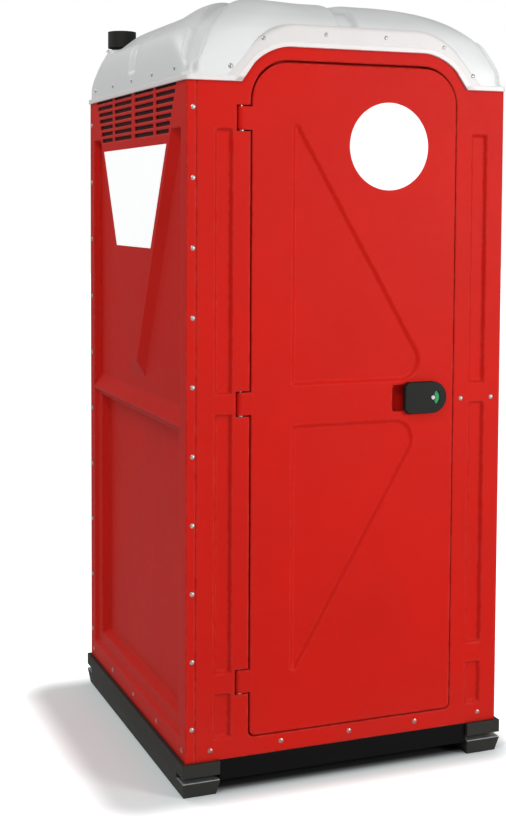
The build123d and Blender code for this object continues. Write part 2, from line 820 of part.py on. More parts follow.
def make_latch_knob():
    """The knob that locks the door from inside."""
    face = door_depth + backplate + flat_gap
    knob = rod_y(latch_x, latch_level, knob_radius, face, face + knob_thickness)
    knob -= rod_y(latch_x, latch_level, spindle_radius + seat_fit, face - 1, face + knob_thickness)
    half = knob_grip_width / 2
    reach = knob_radius - knob_grip_setback
    grip = block(latch_x - reach, latch_x + reach, face + knob_thickness,
                 face + knob_thickness + knob_grip, latch_level - half, latch_level + half)
    return knob + grip


def make_strike_plate():
    """The bracket behind the right jamb that the bolt enters."""
    left = doorway_right + sheet
    foot = latch_level - strike_half_height + strike_lift
    head = latch_level + strike_half_height + strike_lift
    plate = block(left, shell_width - strike_from_side, sheet, sheet + strike_thickness, foot, head)
    plate += block(left, left + strike_thickness, sheet, sheet + strike_leg, foot, head)
    room = bolt_tip_half_height + strike_gap
    plate -= block(left - 1, left + strike_thickness + 1, bolt_front - strike_gap,
                   bolt_front + bolt_thickness + strike_gap, latch_level - room, latch_level + room)
    return plate - [rod_y(x, z, strike_rivet_radius + seat_fit, 0, 3 * sheet) for x, z in strike_rivet_places()]


def make_door_pull():
    """The bar handle inside the door."""
    x = door_left + pull_from_door
    half = pull_span / 2
    bar_y = door_depth + pull_reach
    pull = rod_z(x, bar_y, pull_radius, pull_level - half - pull_radius, pull_level + half + pull_radius)
    for z in (pull_level - half, pull_level + half):
        pull += rod_y(x, z, pull_post_radius, door_depth + pull_plate, bar_y)
        pull += rod_y(x, z, pull_plate_radius, door_depth, door_depth + pull_plate)
    return pull


def make_coat_hook():
    """A plate with an upturned hook, inside the door."""
    x = door_left + hook_from_door
    face = door_depth + hook_plate
    end = door_depth + hook_reach
    plate = block(x - hook_half_width, x + hook_half_width, door_depth, face, hook_level - hook_half_height,
                  hook_level + hook_half_height)
    arm = rod_y(x, hook_level - hook_drop, hook_radius, face, end)
    foot = hook_level - hook_drop - hook_radius - hook_foot
    upturn = rod_z(x, end, hook_tip_radius, foot, hook_level + hook_rise)
    return plate + arm + upturn + Pos(x, end, hook_level + hook_rise) * Sphere(hook_knob_radius)


def valley(edge, middle, direction, radius, growth):
    """A tube whose lowest line runs up from the roof's edge towards its middle."""
    span = hypot(*direction)
    along = Vector(direction[0] / span, direction[1] / span)
    centre = Vector(shell_width / 2, shell_depth / 2)
    reach = abs(direction[0]) / span * shell_width / 2 + abs(direction[1]) / span * shell_depth / 2
    reach = min(reach, hypot(shell_width, shell_depth) / 2)
    points = []
    for inset, rise in (edge, middle):
        place = centre + along * (reach - inset)
        points.append(Vector(place.X, place.Y, wall_height + rise + radius))
    axis = (points[1] - points[0]).normalized()
    start = points[0] - axis * valley_overrun
    tube = Cylinder(radius + growth, (points[1] - start).length, align=(Align.CENTER, Align.CENTER, Align.MIN))
    return Plane(origin=start, z_dir=axis) * tube


def valleys(growth):
    """Four narrow valleys at the middles of the sides and four broad ones at the corners."""
    tubes = [valley(side_valley_edge, side_valley_middle, direction, side_valley_radius, growth)
             for direction in ((1, 0), (-1, 0))]
    tubes += [valley(front_valley_edge, side_valley_middle, direction, side_valley_radius, growth)
              for direction in ((0, 1), (0, -1))]
    tubes += [valley(corner_valley_edge, corner_valley_middle, direction, corner_valley_radius, growth)
              for direction in ((1, 1), (-1, 1), (1, -1), (-1, -1))]
    pad = wall_height + roof_pad_rise - growth
    tubes.append(rod_z(pipe_x, pipe_y, roof_pad_radius + growth, pad, wall_height + 2 * roof_pad_rise))
    return tubes


def roof_body(inset):
    """The roof's outer shape, or its inside when moved in by the wall's thickness."""
    rings = []
    for rise, side_inset, front_inset, radius in roof_sections:
        width = shell_width - 2 * (side_inset + inset)
        depth = shell_depth - 2 * (front_inset + inset)
        rings.append(Pos(shell_width / 2, shell_depth / 2, wall_height + rise)
                     * RectangleRounded(width, depth, radius - inset))
    body = loft(rings, ruled=True)
    body += extrude(rings[-1], amount=dome_rise - roof_sections[-1][0] + 1)
    ball_level = wall_height + dome_rise - dome_radius
    ball = Pos(shell_width / 2, shell_depth / 2, ball_level) * Sphere(dome_radius - inset)
    hood = slab(arch(fascia_foot, fascia_shoulder, fascia_rise, fascia_radius, inset), inset - skirt_outset,
                fascia_length)
    boss = rod_z(pipe_x, pipe_y, roof_pad_radius - inset, wall_height + roof_pad_rise / 2,
                 wall_height + roof_pad_rise - inset)
    return (body & ball) + boss + hood - valleys(inset)


def make_roof_shell():
    """The translucent roof moulding."""
    roof = roof_body(0)
    band = -skirt_outset - lip_proud
    lip_outline = RectangleRounded(shell_width - 2 * band, shell_depth - 2 * band,
                                   roof_sections[0][3] + lip_proud)
    lip = extrude(Pos(shell_width / 2, shell_depth / 2, wall_height) * lip_outline, amount=lip_height)
    arch_lip = slab(arch(arch_foot, arch_shoulder, arch_rise, arch_radius, -lip_height), band, 0)
    roof = roof + lip + arch_lip - roof_body(roof_wall)
    inside_lip = block(-skirt_outset + roof_wall, shell_width + skirt_outset - roof_wall,
                       -skirt_outset + roof_wall, shell_depth + skirt_outset - roof_wall,
                       wall_height - 1, wall_height + lip_height)
    roof -= fillet(inside_lip.edges().filter_by(Axis.Z), lip_inner_radius)
    cuts = [slab(arch(arch_foot, arch_shoulder, arch_rise, arch_radius), band - 1, sheet + 1)]
    pad_head = wall_height + 2 * roof_pad_rise
    cuts.append(rod_z(pipe_x, pipe_y, pipe_radius + pipe_hole_gap, wall_height, pad_head))
    cuts += [rod_y(x, z, screw_radius + seat_fit, band - 1, sheet) for x, z in roof_front_screw_places()]
    for place, length in sides[1:]:
        level = wall_height + roof_screw_level
        cuts += [place * rod_y(x, level, screw_radius + seat_fit, band - 1, sheet)
                 for x in roof_side_screws(length)]
    return roof - cuts


def make_base_tray():
    """The tray under the cabin: its deck, the rim for the walls, the front and back edges and ribs."""
    tray = block(0, shell_width, 0, shell_depth, -deck, 0)
    rim = block(sheet, shell_width - sheet, sheet, shell_depth - sheet, -deck, rim_height)
    rim -= block(2 * sheet, shell_width - 2 * sheet, 2 * sheet, shell_depth - 2 * sheet, 0, rim_height + 1)
    tray += rim
    left = runner_width - base_overhang + tray_edge_gap
    right = shell_width - left
    for y in (0, shell_depth - deck):
        tray += block(left, right, y, y + deck, -tray_edge_depth, -deck)
    for x in spread(left, right - deck, tray_ribs + 2):
        tray += block(x, x + deck, deck, shell_depth - deck, -deck - tray_rib_depth, -deck)
    holes = []
    for (place, length), screws in zip(sides, screw_rows()):
        holes += [place * rod_y(x, screw_level, screw_radius + seat_fit, 0, 3 * sheet) for x in screws]
    return tray - holes


def screw_rows():
    """The base screws' places along each wall, in the order of the sides."""
    return (front_screws, side_screws(shell_depth), side_screws(shell_width), side_screws(shell_depth))


def tie_ledge(inset, z0, z1):
    """The L-shaped step at the front end of the left runner."""
    outer = -base_overhang
    ledge_end = block(outer + inset, outer + runner_width - inset,
                      outer + inset, outer + notch_end_depth - inset, z0, z1)
    ledge_side = block(outer + inset, outer + notch_side_depth - inset, outer + inset,
                       outer + notch_side_length - inset, z0, z1)
    return ledge_end + ledge_side


def mirrored_x(shape):
    """The same piece on the other side of the cabin's middle."""
    return shape.mirror(Plane.YZ.offset(shell_width / 2))


def mirrored_y(shape):
    """The same piece at the other end of the cabin."""
    return shape.mirror(Plane.XZ.offset(-shell_depth / 2))


def make_runner_left():
    """The left runner: an upper block, stepped at both ends for tie-downs, and a tapered foot."""
    outer = -base_overhang
    inner = outer + runner_width
    notch_head = -runner_block
    notch_foot = notch_head - notch_height
    far = shell_depth + base_overhang
    upper = block(outer, inner, outer, far, notch_foot, 0)
    top = Pos((outer + inner) / 2, shell_depth / 2, notch_foot) * Rectangle(runner_width, far - outer)
    sole = Pos((outer + inner) / 2, shell_depth / 2, -base_height) * Rectangle(runner_width - foot_taper,
                                                                                far - outer - 2 * foot_taper)
    foot = loft([sole, top], ruled=True)
    runner = upper + foot - block(0, inner + 1, 0, shell_depth, -deck, 1)
    notch = tie_ledge(0, notch_foot, notch_head)
    return runner - notch - mirrored_y(notch)


def make_tie_plates():
    """Galvanised plates on the four tie-down ledges."""
    level = -runner_block - notch_height
    plate = tie_ledge(tie_plate_inset, level, level + tie_plate)
    return [plate, mirrored_x(plate), mirrored_y(plate), mirrored_x(mirrored_y(plate))]


def make_tank():
    """The waste tank, open above."""
    tank = block(tank_left, tank_right, tank_front, tank_back, tank_foot, tank_rim)
    tank -= block(tank_left + tank_wall, tank_right - tank_wall,
                  tank_front + tank_wall, tank_back - tank_wall, tank_foot + tank_wall, tank_rim + 1)
    drain_x = inner_face + drain_from_wall
    front_inner = tank_front + tank_wall
    return tank - rod_y(drain_x, drain_level, drain_radius + flat_gap, tank_front - 1, front_inner + 1)


def oval(x, y, half_width, half_depth, z0, z1):
    """An upright oval block."""
    return extrude(Pos(x, y, z0) * Ellipse(half_width, half_depth), amount=z1 - z0)


def make_tank_deck():
    """The seat deck that closes the tank."""
    top = block(tank_left, tank_right, tank_front, tank_back, tank_rim, seat_level)
    inset = tank_wall + lap_gap
    lip = block(tank_left + inset, tank_right - inset, tank_front + inset, tank_back - inset,
                tank_rim - tank_lip, tank_rim)
    inset += tank_wall
    lip -= block(tank_left + inset, tank_right - inset, tank_front + inset, tank_back - inset,
                 tank_rim - tank_lip - 1, tank_rim)
    lip -= rod_z(pipe_x, pipe_y, pipe_radius + pipe_wall, tank_rim - tank_lip - 1, tank_rim)
    top += lip
    top -= oval(shell_width / 2, seat_centre, bowl_half_width, bowl_half_depth, tank_rim - 1, seat_level + 1)
    return top - rod_z(pipe_x, pipe_y, pipe_radius + running_fit, tank_rim - tank_lip - 1, seat_level + 1)


seat_pin_y = seat_centre + hinge_from_seat
seat_ring_foot = seat_level + seat_bumper
seat_ring_head = seat_ring_foot + seat_thickness
seat_pin_z = seat_ring_head + flat_gap


def seat_ears(spread_from_middle, z0, z1):
    """Two ears that join a seat piece to its hinge pin."""
    ears = []
    for side in (-1, 1):
        x = shell_width / 2 + side * spread_from_middle
        ear = block(x - seat_ear_width / 2, x + seat_ear_width / 2,
                    seat_centre + seat_half_depth - seat_ear_root, seat_pin_y, z0, z1)
        knuckle = rod_x(seat_pin_y, seat_pin_z, seat_knuckle_radius, x - seat_ear_width / 2,
                        x + seat_ear_width / 2)
        ears.append(ear + knuckle)
    return ears


def make_seat_ring():
    """The seat, down on its bumpers."""
    middle = shell_width / 2
    ring = oval(middle, seat_centre, seat_half_width, seat_half_depth, seat_ring_foot, seat_ring_head)
    ring -= oval(middle, seat_centre, bowl_half_width, bowl_half_depth, seat_ring_foot - 1, seat_ring_head + 1)
    for ear in seat_ears(seat_ear_spread, seat_ring_foot, seat_ring_head):
        ring += ear
    for x, y in seat_bumper_places():
        ring += rod_z(x, y, seat_bumper_radius, seat_level + flat_gap, seat_ring_foot)
    return ring - rod_x(seat_pin_y, seat_pin_z, seat_pin_radius + running_fit, 0, shell_width)


def seat_bumper_places():
    """Where the seat's four bumpers stand."""
    x = (seat_half_width + bowl_half_width) / 2 * cos(radians(45))
    y = (seat_half_depth + bowl_half_depth) / 2 * sin(radians(45))
    return [(shell_width / 2 + a * x, seat_centre + b * y) for a in (-1, 1) for b in (-1, 1)]


def make_seat_lid():
    """The lid, drawn shut and then swung up until it leans back."""
    middle = shell_width / 2
    foot = seat_ring_head + 2 * flat_gap
    lid = oval(middle, seat_centre, seat_half_width, seat_half_depth, foot, foot + lid_thickness)
    for ear in seat_ears(seat_ear_spread - seat_ear_width - 2 * flat_gap, foot, foot + lid_thickness):
        lid += ear
    lid -= rod_x(seat_pin_y, seat_pin_z, seat_pin_radius + running_fit, 0, shell_width)
    up = Pos(0, seat_pin_y, seat_pin_z) * Rot(-90 - lid_lean, 0, 0) * Pos(0, -seat_pin_y, -seat_pin_z)
    return up * lid


def make_seat_hinge():
    """The lugs on the deck that carry the seat's pin."""
    lugs = []
    for side in (-1, 1):
        x = shell_width / 2 + side * (seat_ear_spread + seat_ear_width / 2 + flat_gap + seat_lug_width / 2)
        lug = block(x - seat_lug_width / 2, x + seat_lug_width / 2, seat_pin_y - seat_knuckle_radius,
                    seat_pin_y + seat_knuckle_radius, seat_level, seat_pin_z)
        lug += rod_x(seat_pin_y, seat_pin_z, seat_knuckle_radius,
                     x - seat_lug_width / 2, x + seat_lug_width / 2)
        lugs.append(lug - rod_x(seat_pin_y, seat_pin_z, seat_pin_radius + seat_fit, 0, shell_width))
    return lugs


def make_seat_pin():
    """The pin through the lugs, the seat and the lid."""
    reach = seat_ear_spread + seat_ear_width / 2 + flat_gap + seat_lug_width
    return rod_x(seat_pin_y, seat_pin_z, seat_pin_radius, shell_width / 2 - reach, shell_width / 2 + reach)


def urinal_shape(wall, extra):
    """The urinal's tapered bowl, or its hollow when given a wall."""
    foot = urinal_foot + wall
    ring_foot = Pos(inner_face + urinal_foot_reach / 2, urinal_centre, foot) * Rectangle(
        urinal_foot_reach - 2 * wall, 2 * urinal_foot_half_width - 2 * wall)
    ring_rim = Pos(inner_face + urinal_reach / 2, urinal_centre, urinal_rim + extra) * Rectangle(
        urinal_reach - 2 * wall, 2 * urinal_half_width - 2 * wall)
    return loft([ring_foot, ring_rim], ruled=True)


def make_urinal():
    """The wall urinal, with its splash back and drain."""
    urinal = urinal_shape(0, 0) - urinal_shape(urinal_wall, 0.5)
    urinal += block(inner_face, inner_face + urinal_wall, urinal_centre - urinal_half_width,
                    urinal_centre + urinal_half_width, urinal_rim - 1, urinal_back_top)
    drain_x = inner_face + drain_from_wall
    return urinal - rod_z(drain_x, urinal_centre, drain_bore, urinal_foot - 1, urinal_foot + urinal_wall + 1)


def make_urinal_pipe():
    """The drain from the urinal's foot, down and back into the tank."""
    x = inner_face + drain_from_wall
    start = (x, urinal_centre, urinal_foot)
    corner = (x, urinal_centre, drain_level)
    end = (x, tank_front + 2 * tank_wall, drain_level)
    path = FilletPolyline(start, corner, end, radius=drain_bend)
    section = Plane(origin=start, z_dir=(0, 0, -1))
    tube = sweep(section * Circle(drain_radius), path=path)
    return tube - sweep(section * Circle(drain_bore), path=path)


def make_pipe_clips():
    """Two saddles that hold the drain to the wall."""
    x = inner_face + drain_from_wall
    outer = drain_radius + clip_wall
    clips = []
    for level in (clip_level, clip_level + clip_pitch):
        clip = block(inner_face, x, urinal_centre - outer, urinal_centre + outer, level, level + clip_width)
        clip += rod_z(x, urinal_centre, outer, level, level + clip_width)
        clips.append(clip - rod_z(x, urinal_centre, drain_radius + seat_fit, level - 1, level + clip_width + 1))
    return clips


def make_roll_holder():
    """The holder on the right wall: a back plate, two arms and the fixed spindle."""
    x = right_inner - roll_from_wall
    half = roll_width / 2 + roll_side_gap
    holder = block(right_inner - roll_arm, right_inner,
                   roll_centre - half - roll_arm, roll_centre + half + roll_arm,
                   roll_level - roll_arm_half_height, roll_level + roll_arm_half_height)
    for y in (roll_centre - half - roll_arm, roll_centre + half):
        holder += block(x, right_inner, y, y + roll_arm, roll_level - roll_arm_half_height,
                        roll_level + roll_arm_half_height)
        holder += rod_y(x, roll_level, roll_arm_half_height, y, y + roll_arm)
    return holder + rod_y(x, roll_level, roll_spindle_radius, roll_centre - half, roll_centre + half)


def make_paper_roll():
    """The roll of paper on its spindle."""
    x = right_inner - roll_from_wall
    front = roll_centre - roll_width / 2
    back = roll_centre + roll_width / 2
    roll = rod_y(x, roll_level, roll_radius, front, back)
    return roll - rod_y(x, roll_level, roll_spindle_radius + flat_gap, front - 1, back + 1)


def make_vent_pipe():
    """The pipe from the tank to above the roof."""
    pipe = rod_z(pipe_x, pipe_y, pipe_radius, tank_rim, wall_height + pipe_rise)
    return pipe - rod_z(pipe_x, pipe_y, pipe_radius - pipe_wall, tank_rim - 1, wall_height + pipe_rise + 1)


def make_vent_cap():
    """The black cap: a sleeve round the pipe, with a crown held up on ribs."""
    foot = wall_height + roof_pad_rise
    head = foot + cap_height
    cap = rod_z(pipe_x, pipe_y, cap_radius, foot, head)
    cap -= rod_z(pipe_x, pipe_y, cap_radius - cap_wall, foot - 1, head - cap_crown)
    half_rib = cap_wall / 2
    for angle in (0, 90, 180, 270):
        rib = block(pipe_radius, cap_radius - half_rib, -half_rib, half_rib, foot, head - cap_crown)
        cap += Pos(pipe_x, pipe_y, 0) * Rot(0, 0, angle) * rib
    cap -= rod_z(pipe_x, pipe_y, pipe_radius + seat_fit, foot - 1, wall_height + pipe_rise)
    return cap


def make_corner_rivets():
    """Rivets up the four corners."""
    return [place * fastener(rivet_from_corner, z, 0, 2 * sheet, rivet_radius, rivet_head, rivet_head_radius,
                             rivet_tail, rivet_tail_radius)
            for place, length in sides for z in rivet_levels]


def make_base_screws():
    """Screws through the walls into the tray's rim."""
    return [place * fastener(x, screw_level, 0, 2 * sheet, screw_radius, screw_head, screw_head_radius,
                             screw_tail, rivet_tail_radius)
            for (place, length), screws in zip(sides, screw_rows()) for x in screws]


def make_roof_screws():
    """Screws through the roof's skirt and fascia into the walls."""
    shank = skirt_outset + sheet
    places = [(front_side, x, z) for x, z in roof_front_screw_places()]
    level = wall_height + roof_screw_level
    places += [(place, x, level) for place, length in sides[1:] for x in roof_side_screws(length)]
    return [place * fastener(x, z, -skirt_outset, shank, screw_radius, screw_head, rivet_head_radius,
                             screw_tail, rivet_tail_radius)
            for place, x, z in places]


def make_strike_rivets():
    """The two rivets of the strike plate."""
    return [fastener(x, z, 0, sheet + strike_thickness, strike_rivet_radius, rivet_head, rivet_head_radius,
                     rivet_tail, rivet_tail_radius) for x, z in strike_rivet_places()]


def make_hinge_pins():
    """The three hinge pins, each with the collar that the door rests on."""
    pins = []
    for level in hinge_levels:
        half = hinge_tab_height / 2 + hinge_notch_gap
        reach = half + hinge_block_wall
        pin = rod_z(hinge_x, hinge_axis_depth, hinge_pin_radius, level - reach, level + reach)
        pin += rod_z(hinge_x, hinge_axis_depth, hinge_collar_radius, level - half,
                     level - hinge_tab_height / 2 - thrust_gap)
        pins.append(pin)
    return pins


def make_side_label():
    """The tapered label on the left wall's V."""
    middle = shell_depth / 2
    outline = closed([(middle - side_label_foot_half, side_label_foot),
                      (middle + side_label_foot_half, side_label_foot),
                      (middle + side_label_top_half, side_label_top),
                      (middle - side_label_top_half, side_label_top)])
    return left_side * slab(outline, -label_thickness, 0)


def make_floor_panel():
    """The floor inside the tray's rim."""
    edge = 2 * sheet + floor_gap
    return block(edge, shell_width - edge, edge, shell_depth - edge, 0, floor_thickness)


runner_left = make_runner_left()
pieces = {
    "base_tray": make_base_tray(),
    "runner_left": runner_left,
    "runner_right": mirrored_x(runner_left),
    "tie_down_plates": make_tie_plates(),
    "base_screws": make_base_screws(),
    "floor_panel": make_floor_panel(),
    "left_wall": left_side * pressed_wall(shell_depth, side_screws(shell_depth)),
    "right_wall": right_side * pressed_wall(shell_depth, side_screws(shell_depth)),
    "back_wall": back_side * pressed_wall(shell_width, side_screws(shell_width)),
    "front_frame": make_front_frame(),
    "door_stops": make_door_stops(),
    "corner_rivets": make_corner_rivets(),
    "hinge_pins": make_hinge_pins(),
    "strike_plate": make_strike_plate(),
    "strike_rivets": make_strike_rivets(),
    "roof_shell": make_roof_shell(),
    "roof_screws": make_roof_screws(),
    "vent_pipe": make_vent_pipe(),
    "vent_cap": make_vent_cap(),
    "side_label": make_side_label(),
    "waste_tank": make_tank(),
    "seat_deck": make_tank_deck(),
    "seat_hinge_lugs": make_seat_hinge(),
    "seat_hinge_pin": make_seat_pin(),
    "seat_ring": make_seat_ring(),
    "seat_lid": make_seat_lid(),
    "urinal": make_urinal(),
    "urinal_pipe": make_urinal_pipe(),
    "pipe_clips": make_pipe_clips(),
    "roll_holder": make_roll_holder(),
    "paper_roll": make_paper_roll(),
    "door_panel": make_door_panel(),
    "door_liner": make_door_liner(),
    "round_label": rod_y(door_right - round_label_from_door_edge, round_label_level, round_label_radius,
                         -label_thickness, 0),
    "door_pull": make_door_pull(),
    "coat_hook": make_coat_hook(),
    "latch_cover": make_latch_cover(),
    "latch_backplate": make_latch_backplate(),
    "latch_case": make_latch_case(),
    "latch_screws": make_latch_screws(),
    "latch_spindle": make_latch_spindle(),
    "indicator_disc": make_indicator_disc(),
    "latch_crank": make_latch_crank(),
    "latch_knob": make_latch_knob(),
    "latch_bolt": make_latch_bolt(),
}

os.makedirs("parts", exist_ok=True)
to_origin = Pos(*(-value for value in origin))
for name, piece in pieces.items():
    solids = piece if isinstance(piece, list) else [piece]
    moved = [to_origin * solid for solid in solids]
    export_step(moved[0] if len(moved) == 1 else Compound(children=moved), f"parts/{name}.step")
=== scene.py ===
import math

import bmesh
import bpy
from mathutils import Matrix, Vector


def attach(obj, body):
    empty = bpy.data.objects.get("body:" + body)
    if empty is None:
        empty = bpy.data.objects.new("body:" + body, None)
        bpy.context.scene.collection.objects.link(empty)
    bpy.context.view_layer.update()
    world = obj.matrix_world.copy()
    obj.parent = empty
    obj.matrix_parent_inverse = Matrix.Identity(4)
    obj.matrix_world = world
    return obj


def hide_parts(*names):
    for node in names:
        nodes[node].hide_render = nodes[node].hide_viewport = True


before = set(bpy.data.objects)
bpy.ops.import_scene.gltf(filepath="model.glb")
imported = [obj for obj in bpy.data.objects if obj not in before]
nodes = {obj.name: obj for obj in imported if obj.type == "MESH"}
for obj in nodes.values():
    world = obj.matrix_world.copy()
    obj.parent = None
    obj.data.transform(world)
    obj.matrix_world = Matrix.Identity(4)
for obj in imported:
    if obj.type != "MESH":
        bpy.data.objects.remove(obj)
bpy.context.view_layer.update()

# Camera. It stands at eye height in front of the cabin's left corner, a little over four metres off,
# and looks slightly down.
camera_place = Vector((-1.78543, -4.27488, 1.74160))
camera_yaw = math.radians(21.162)
camera_pitch = math.radians(3.360)
camera_roll = math.radians(0.259)
camera_lens = 60.38
camera_sensor = 36
camera_shift = (0.0081, -0.1496)

camera_data = bpy.data.cameras.new("camera")
camera_data.sensor_width = camera_sensor
camera_data.lens = camera_lens
camera_data.shift_x, camera_data.shift_y = camera_shift
camera = bpy.data.objects.new("camera", camera_data)
bpy.context.scene.collection.objects.link(camera)
camera.location = camera_place
turn = Matrix.Rotation(-camera_yaw, 3, "Z") @ Matrix.Rotation(math.radians(90) - camera_pitch, 3, "X")
camera.rotation_euler = (turn @ Matrix.Rotation(camera_roll, 3, "Z")).to_euler()
bpy.context.scene.camera = camera
bpy.context.scene.view_settings.view_transform = "Standard"


# Floor. A white studio floor runs out on all sides, tinted a little cyan against the pink light that the red
# walls bounce onto it. It shows the cabin's soft shadow, deepened toward the cabin's left by less added
# white (painted shade), is darkened under the base by a painted shadow, and elsewhere is as white as the
# backdrop.
floor_half = 30.0
# The cyan tint cancels the pink light bounced from the red walls: painted light.
floor_colour = (0.80, 0.865, 0.865, 1)
floor_lift = (0.12, 0.95)  # added white near the cabin and far from it
# The added white is weakest near this oblong, set toward the cabin's left, so the floor darkens there:
# painted shade over the real shadow.
shade_middle = (-0.09, -0.02, 0)
shade_half = (0.56, 0.46, 0)
shade_reach = (0.05, 0.22)
# Painted shadow: the floor is coloured dark under the base and a little way around it, with no added white.
floor_painted_shadow = (0.05, 0.05, 0.05, 1)
painted_shadow_middle = (0, 0, 0)
painted_shadow_half = (0.470, 0.480, 0)
painted_shadow_reach = (0.0, 0.07)


def finished(name, shape):
    """A new object from a bmesh, which is freed."""
    mesh = bpy.data.meshes.new(name)
    shape.to_mesh(mesh)
    shape.free()
    piece = bpy.data.objects.new(name, mesh)
    bpy.context.scene.collection.objects.link(piece)
    return piece


def add(tree, kind, inputs, **settings):
    """A new shader node. Its inputs are values or other nodes' sockets, by name or number."""
    node = tree.nodes.new("ShaderNode" + kind)
    for key, value in settings.items():
        setattr(node, key, value)
    for key, value in inputs.items():
        if isinstance(value, bpy.types.NodeSocket):
            tree.links.new(value, node.inputs[key])
        else:
            node.inputs[key].default_value = value
    return node


def finish(name, **sockets):
    """A new material, and its shader with plain values set by socket name."""
    material = bpy.data.materials.new(name)
    material.use_nodes = True
    shader = material.node_tree.nodes["Principled BSDF"]
    for socket, value in sockets.items():
        shader.inputs[socket.replace("_", " ")].default_value = value
    return material, shader


def away_from(tree, place, middle, half, reach, levels):
    """A value that goes from one level to another over a stretch of floor around an oblong."""
    aside = add(tree, "VectorMath", {0: place, 1: middle}, operation="SUBTRACT").outputs["Vector"]
    aside = add(tree, "VectorMath", {0: aside}, operation="ABSOLUTE").outputs["Vector"]
    aside = add(tree, "VectorMath", {0: aside, 1: half}, operation="SUBTRACT").outputs["Vector"]
    aside = add(tree, "VectorMath", {0: aside, 1: (0, 0, 0)}, operation="MAXIMUM").outputs["Vector"]
    distance = add(tree, "VectorMath", {0: aside}, operation="LENGTH").outputs["Value"]
    level = add(tree, "MapRange", {"Value": distance, "From Min": reach[0], "From Max": reach[1],
                                   "To Min": levels[0], "To Max": levels[1]},
                interpolation_type="SMOOTHSTEP")
    return level.outputs["Result"]


floor_shape = bmesh.new()
bmesh.ops.create_grid(floor_shape, x_segments=1, y_segments=1, size=floor_half)
floor = finished("studio_floor", floor_shape)
floor_finish, shader = finish("studio floor", Base_Color=floor_colour, Roughness=0.9,
                              Specular_IOR_Level=0.0, Emission_Color=(1, 1, 1, 1))
tree = floor_finish.node_tree
seen = add(tree, "LightPath", {}).outputs["Is Camera Ray"]
place = add(tree, "TexCoord", {}).outputs["Object"]
white = away_from(tree, place, shade_middle, shade_half, shade_reach, floor_lift)
# Painted shadow under the base: 0 there, 1 beyond it.
clear = away_from(tree, place, painted_shadow_middle, painted_shadow_half, painted_shadow_reach, (0, 1))
shaded = add(tree, "Mix", {0: clear, 6: floor_painted_shadow, 7: floor_colour}, data_type="RGBA").outputs[2]
tree.links.new(shaded, shader.inputs["Base Color"])
lift = add(tree, "Math", {0: seen, 1: white}, operation="MULTIPLY").outputs[0]
lift = add(tree, "Math", {0: lift, 1: clear}, operation="MULTIPLY").outputs[0]
tree.links.new(lift, shader.inputs["Emission Strength"])
floor.data.materials.append(floor_finish)


# Studio light. The white room lights everything evenly, a soft lamp in front to the right brightens the
# door side, and two weaker ones high on the left pick out the roof's edges and its front corner.
room_strength = 0.38
lamps = (
    # name, place, diameter, power in watts, aim
    ("door side lamp", (3.2, -4.8, 2.2), 1.6, 135, (0.0, -0.4, 1.1)),
    ("left rear lamp", (-3.2, 2.6, 4.4), 1.6, 40, (-0.3, 0.1, 1.9)),
    ("corner lamp", (-2.3, -3.1, 4.9), 0.8, 62, (-0.3, -0.3, 2.2)),
)

world = bpy.data.worlds.new("white room")
world.use_nodes = True
bpy.context.scene.world = world
seen = add(world.node_tree, "LightPath", {}).outputs["Is Camera Ray"]
level = add(world.node_tree, "MapRange", {"Value": seen, "To Min": room_strength, "To Max": 1.0})
backdrop = world.node_tree.nodes["Background"]
backdrop.inputs["Color"].default_value = (1, 1, 1, 1)
world.node_tree.links.new(level.outputs["Result"], backdrop.inputs["Strength"])

for name, place, diameter, watts, aim in lamps:
    light = bpy.data.lights.new(name, "AREA")
    light.shape = "DISK"
    light.size = diameter
    light.energy = watts
    holder = bpy.data.objects.new(name, light)
    holder.location = place
    holder.rotation_euler = (Vector(aim) - holder.location).to_track_quat("-Z", "Y").to_euler()
    bpy.context.scene.collection.objects.link(holder)


# Base. Two black polyethylene runners and a ribbed tray carry the cabin. Light metal plates lie on the
# ledges for the tie-down straps, and red-tinted metal screws hold the walls to the tray's rim.
black = (0.014, 0.015, 0.013, 1)
black_rubbed_highlit = (0.10, 0.10, 0.09, 1)
black_deep = (0.012, 0.013, 0.011, 1)
dust = (0.30, 0.27, 0.22, 1)
zinc = (0.62, 0.60, 0.58, 1)
zinc_dull = (0.35, 0.34, 0.33, 1)
galvanised = (0.50, 0.52, 0.51, 1)
galvanised_dull = (0.30, 0.32, 0.32, 1)
# The tray is coloured darker than the runners as painted shade, since it lies in the cabin's shadow.
tray_painted_shade_black = (0.004, 0.004, 0.004, 1)
# The screw heads are metal tinted red.
screw_red_tint = (0.70, 0.34, 0.32, 1)
screw_red_tint_dull = (0.36, 0.08, 0.07, 1)


def shader_group(name, inputs, outputs):
    """A group of shader nodes with named sockets."""
    group = bpy.data.node_groups.new(name, "ShaderNodeTree")
    for label, kind, value in inputs:
        socket = group.interface.new_socket(label, in_out="INPUT", socket_type="NodeSocket" + kind)
        socket.default_value = value
    for label, kind in outputs:
        group.interface.new_socket(label, in_out="OUTPUT", socket_type="NodeSocket" + kind)
    return group, group.nodes.new("NodeGroupInput").outputs, group.nodes.new("NodeGroupOutput").inputs


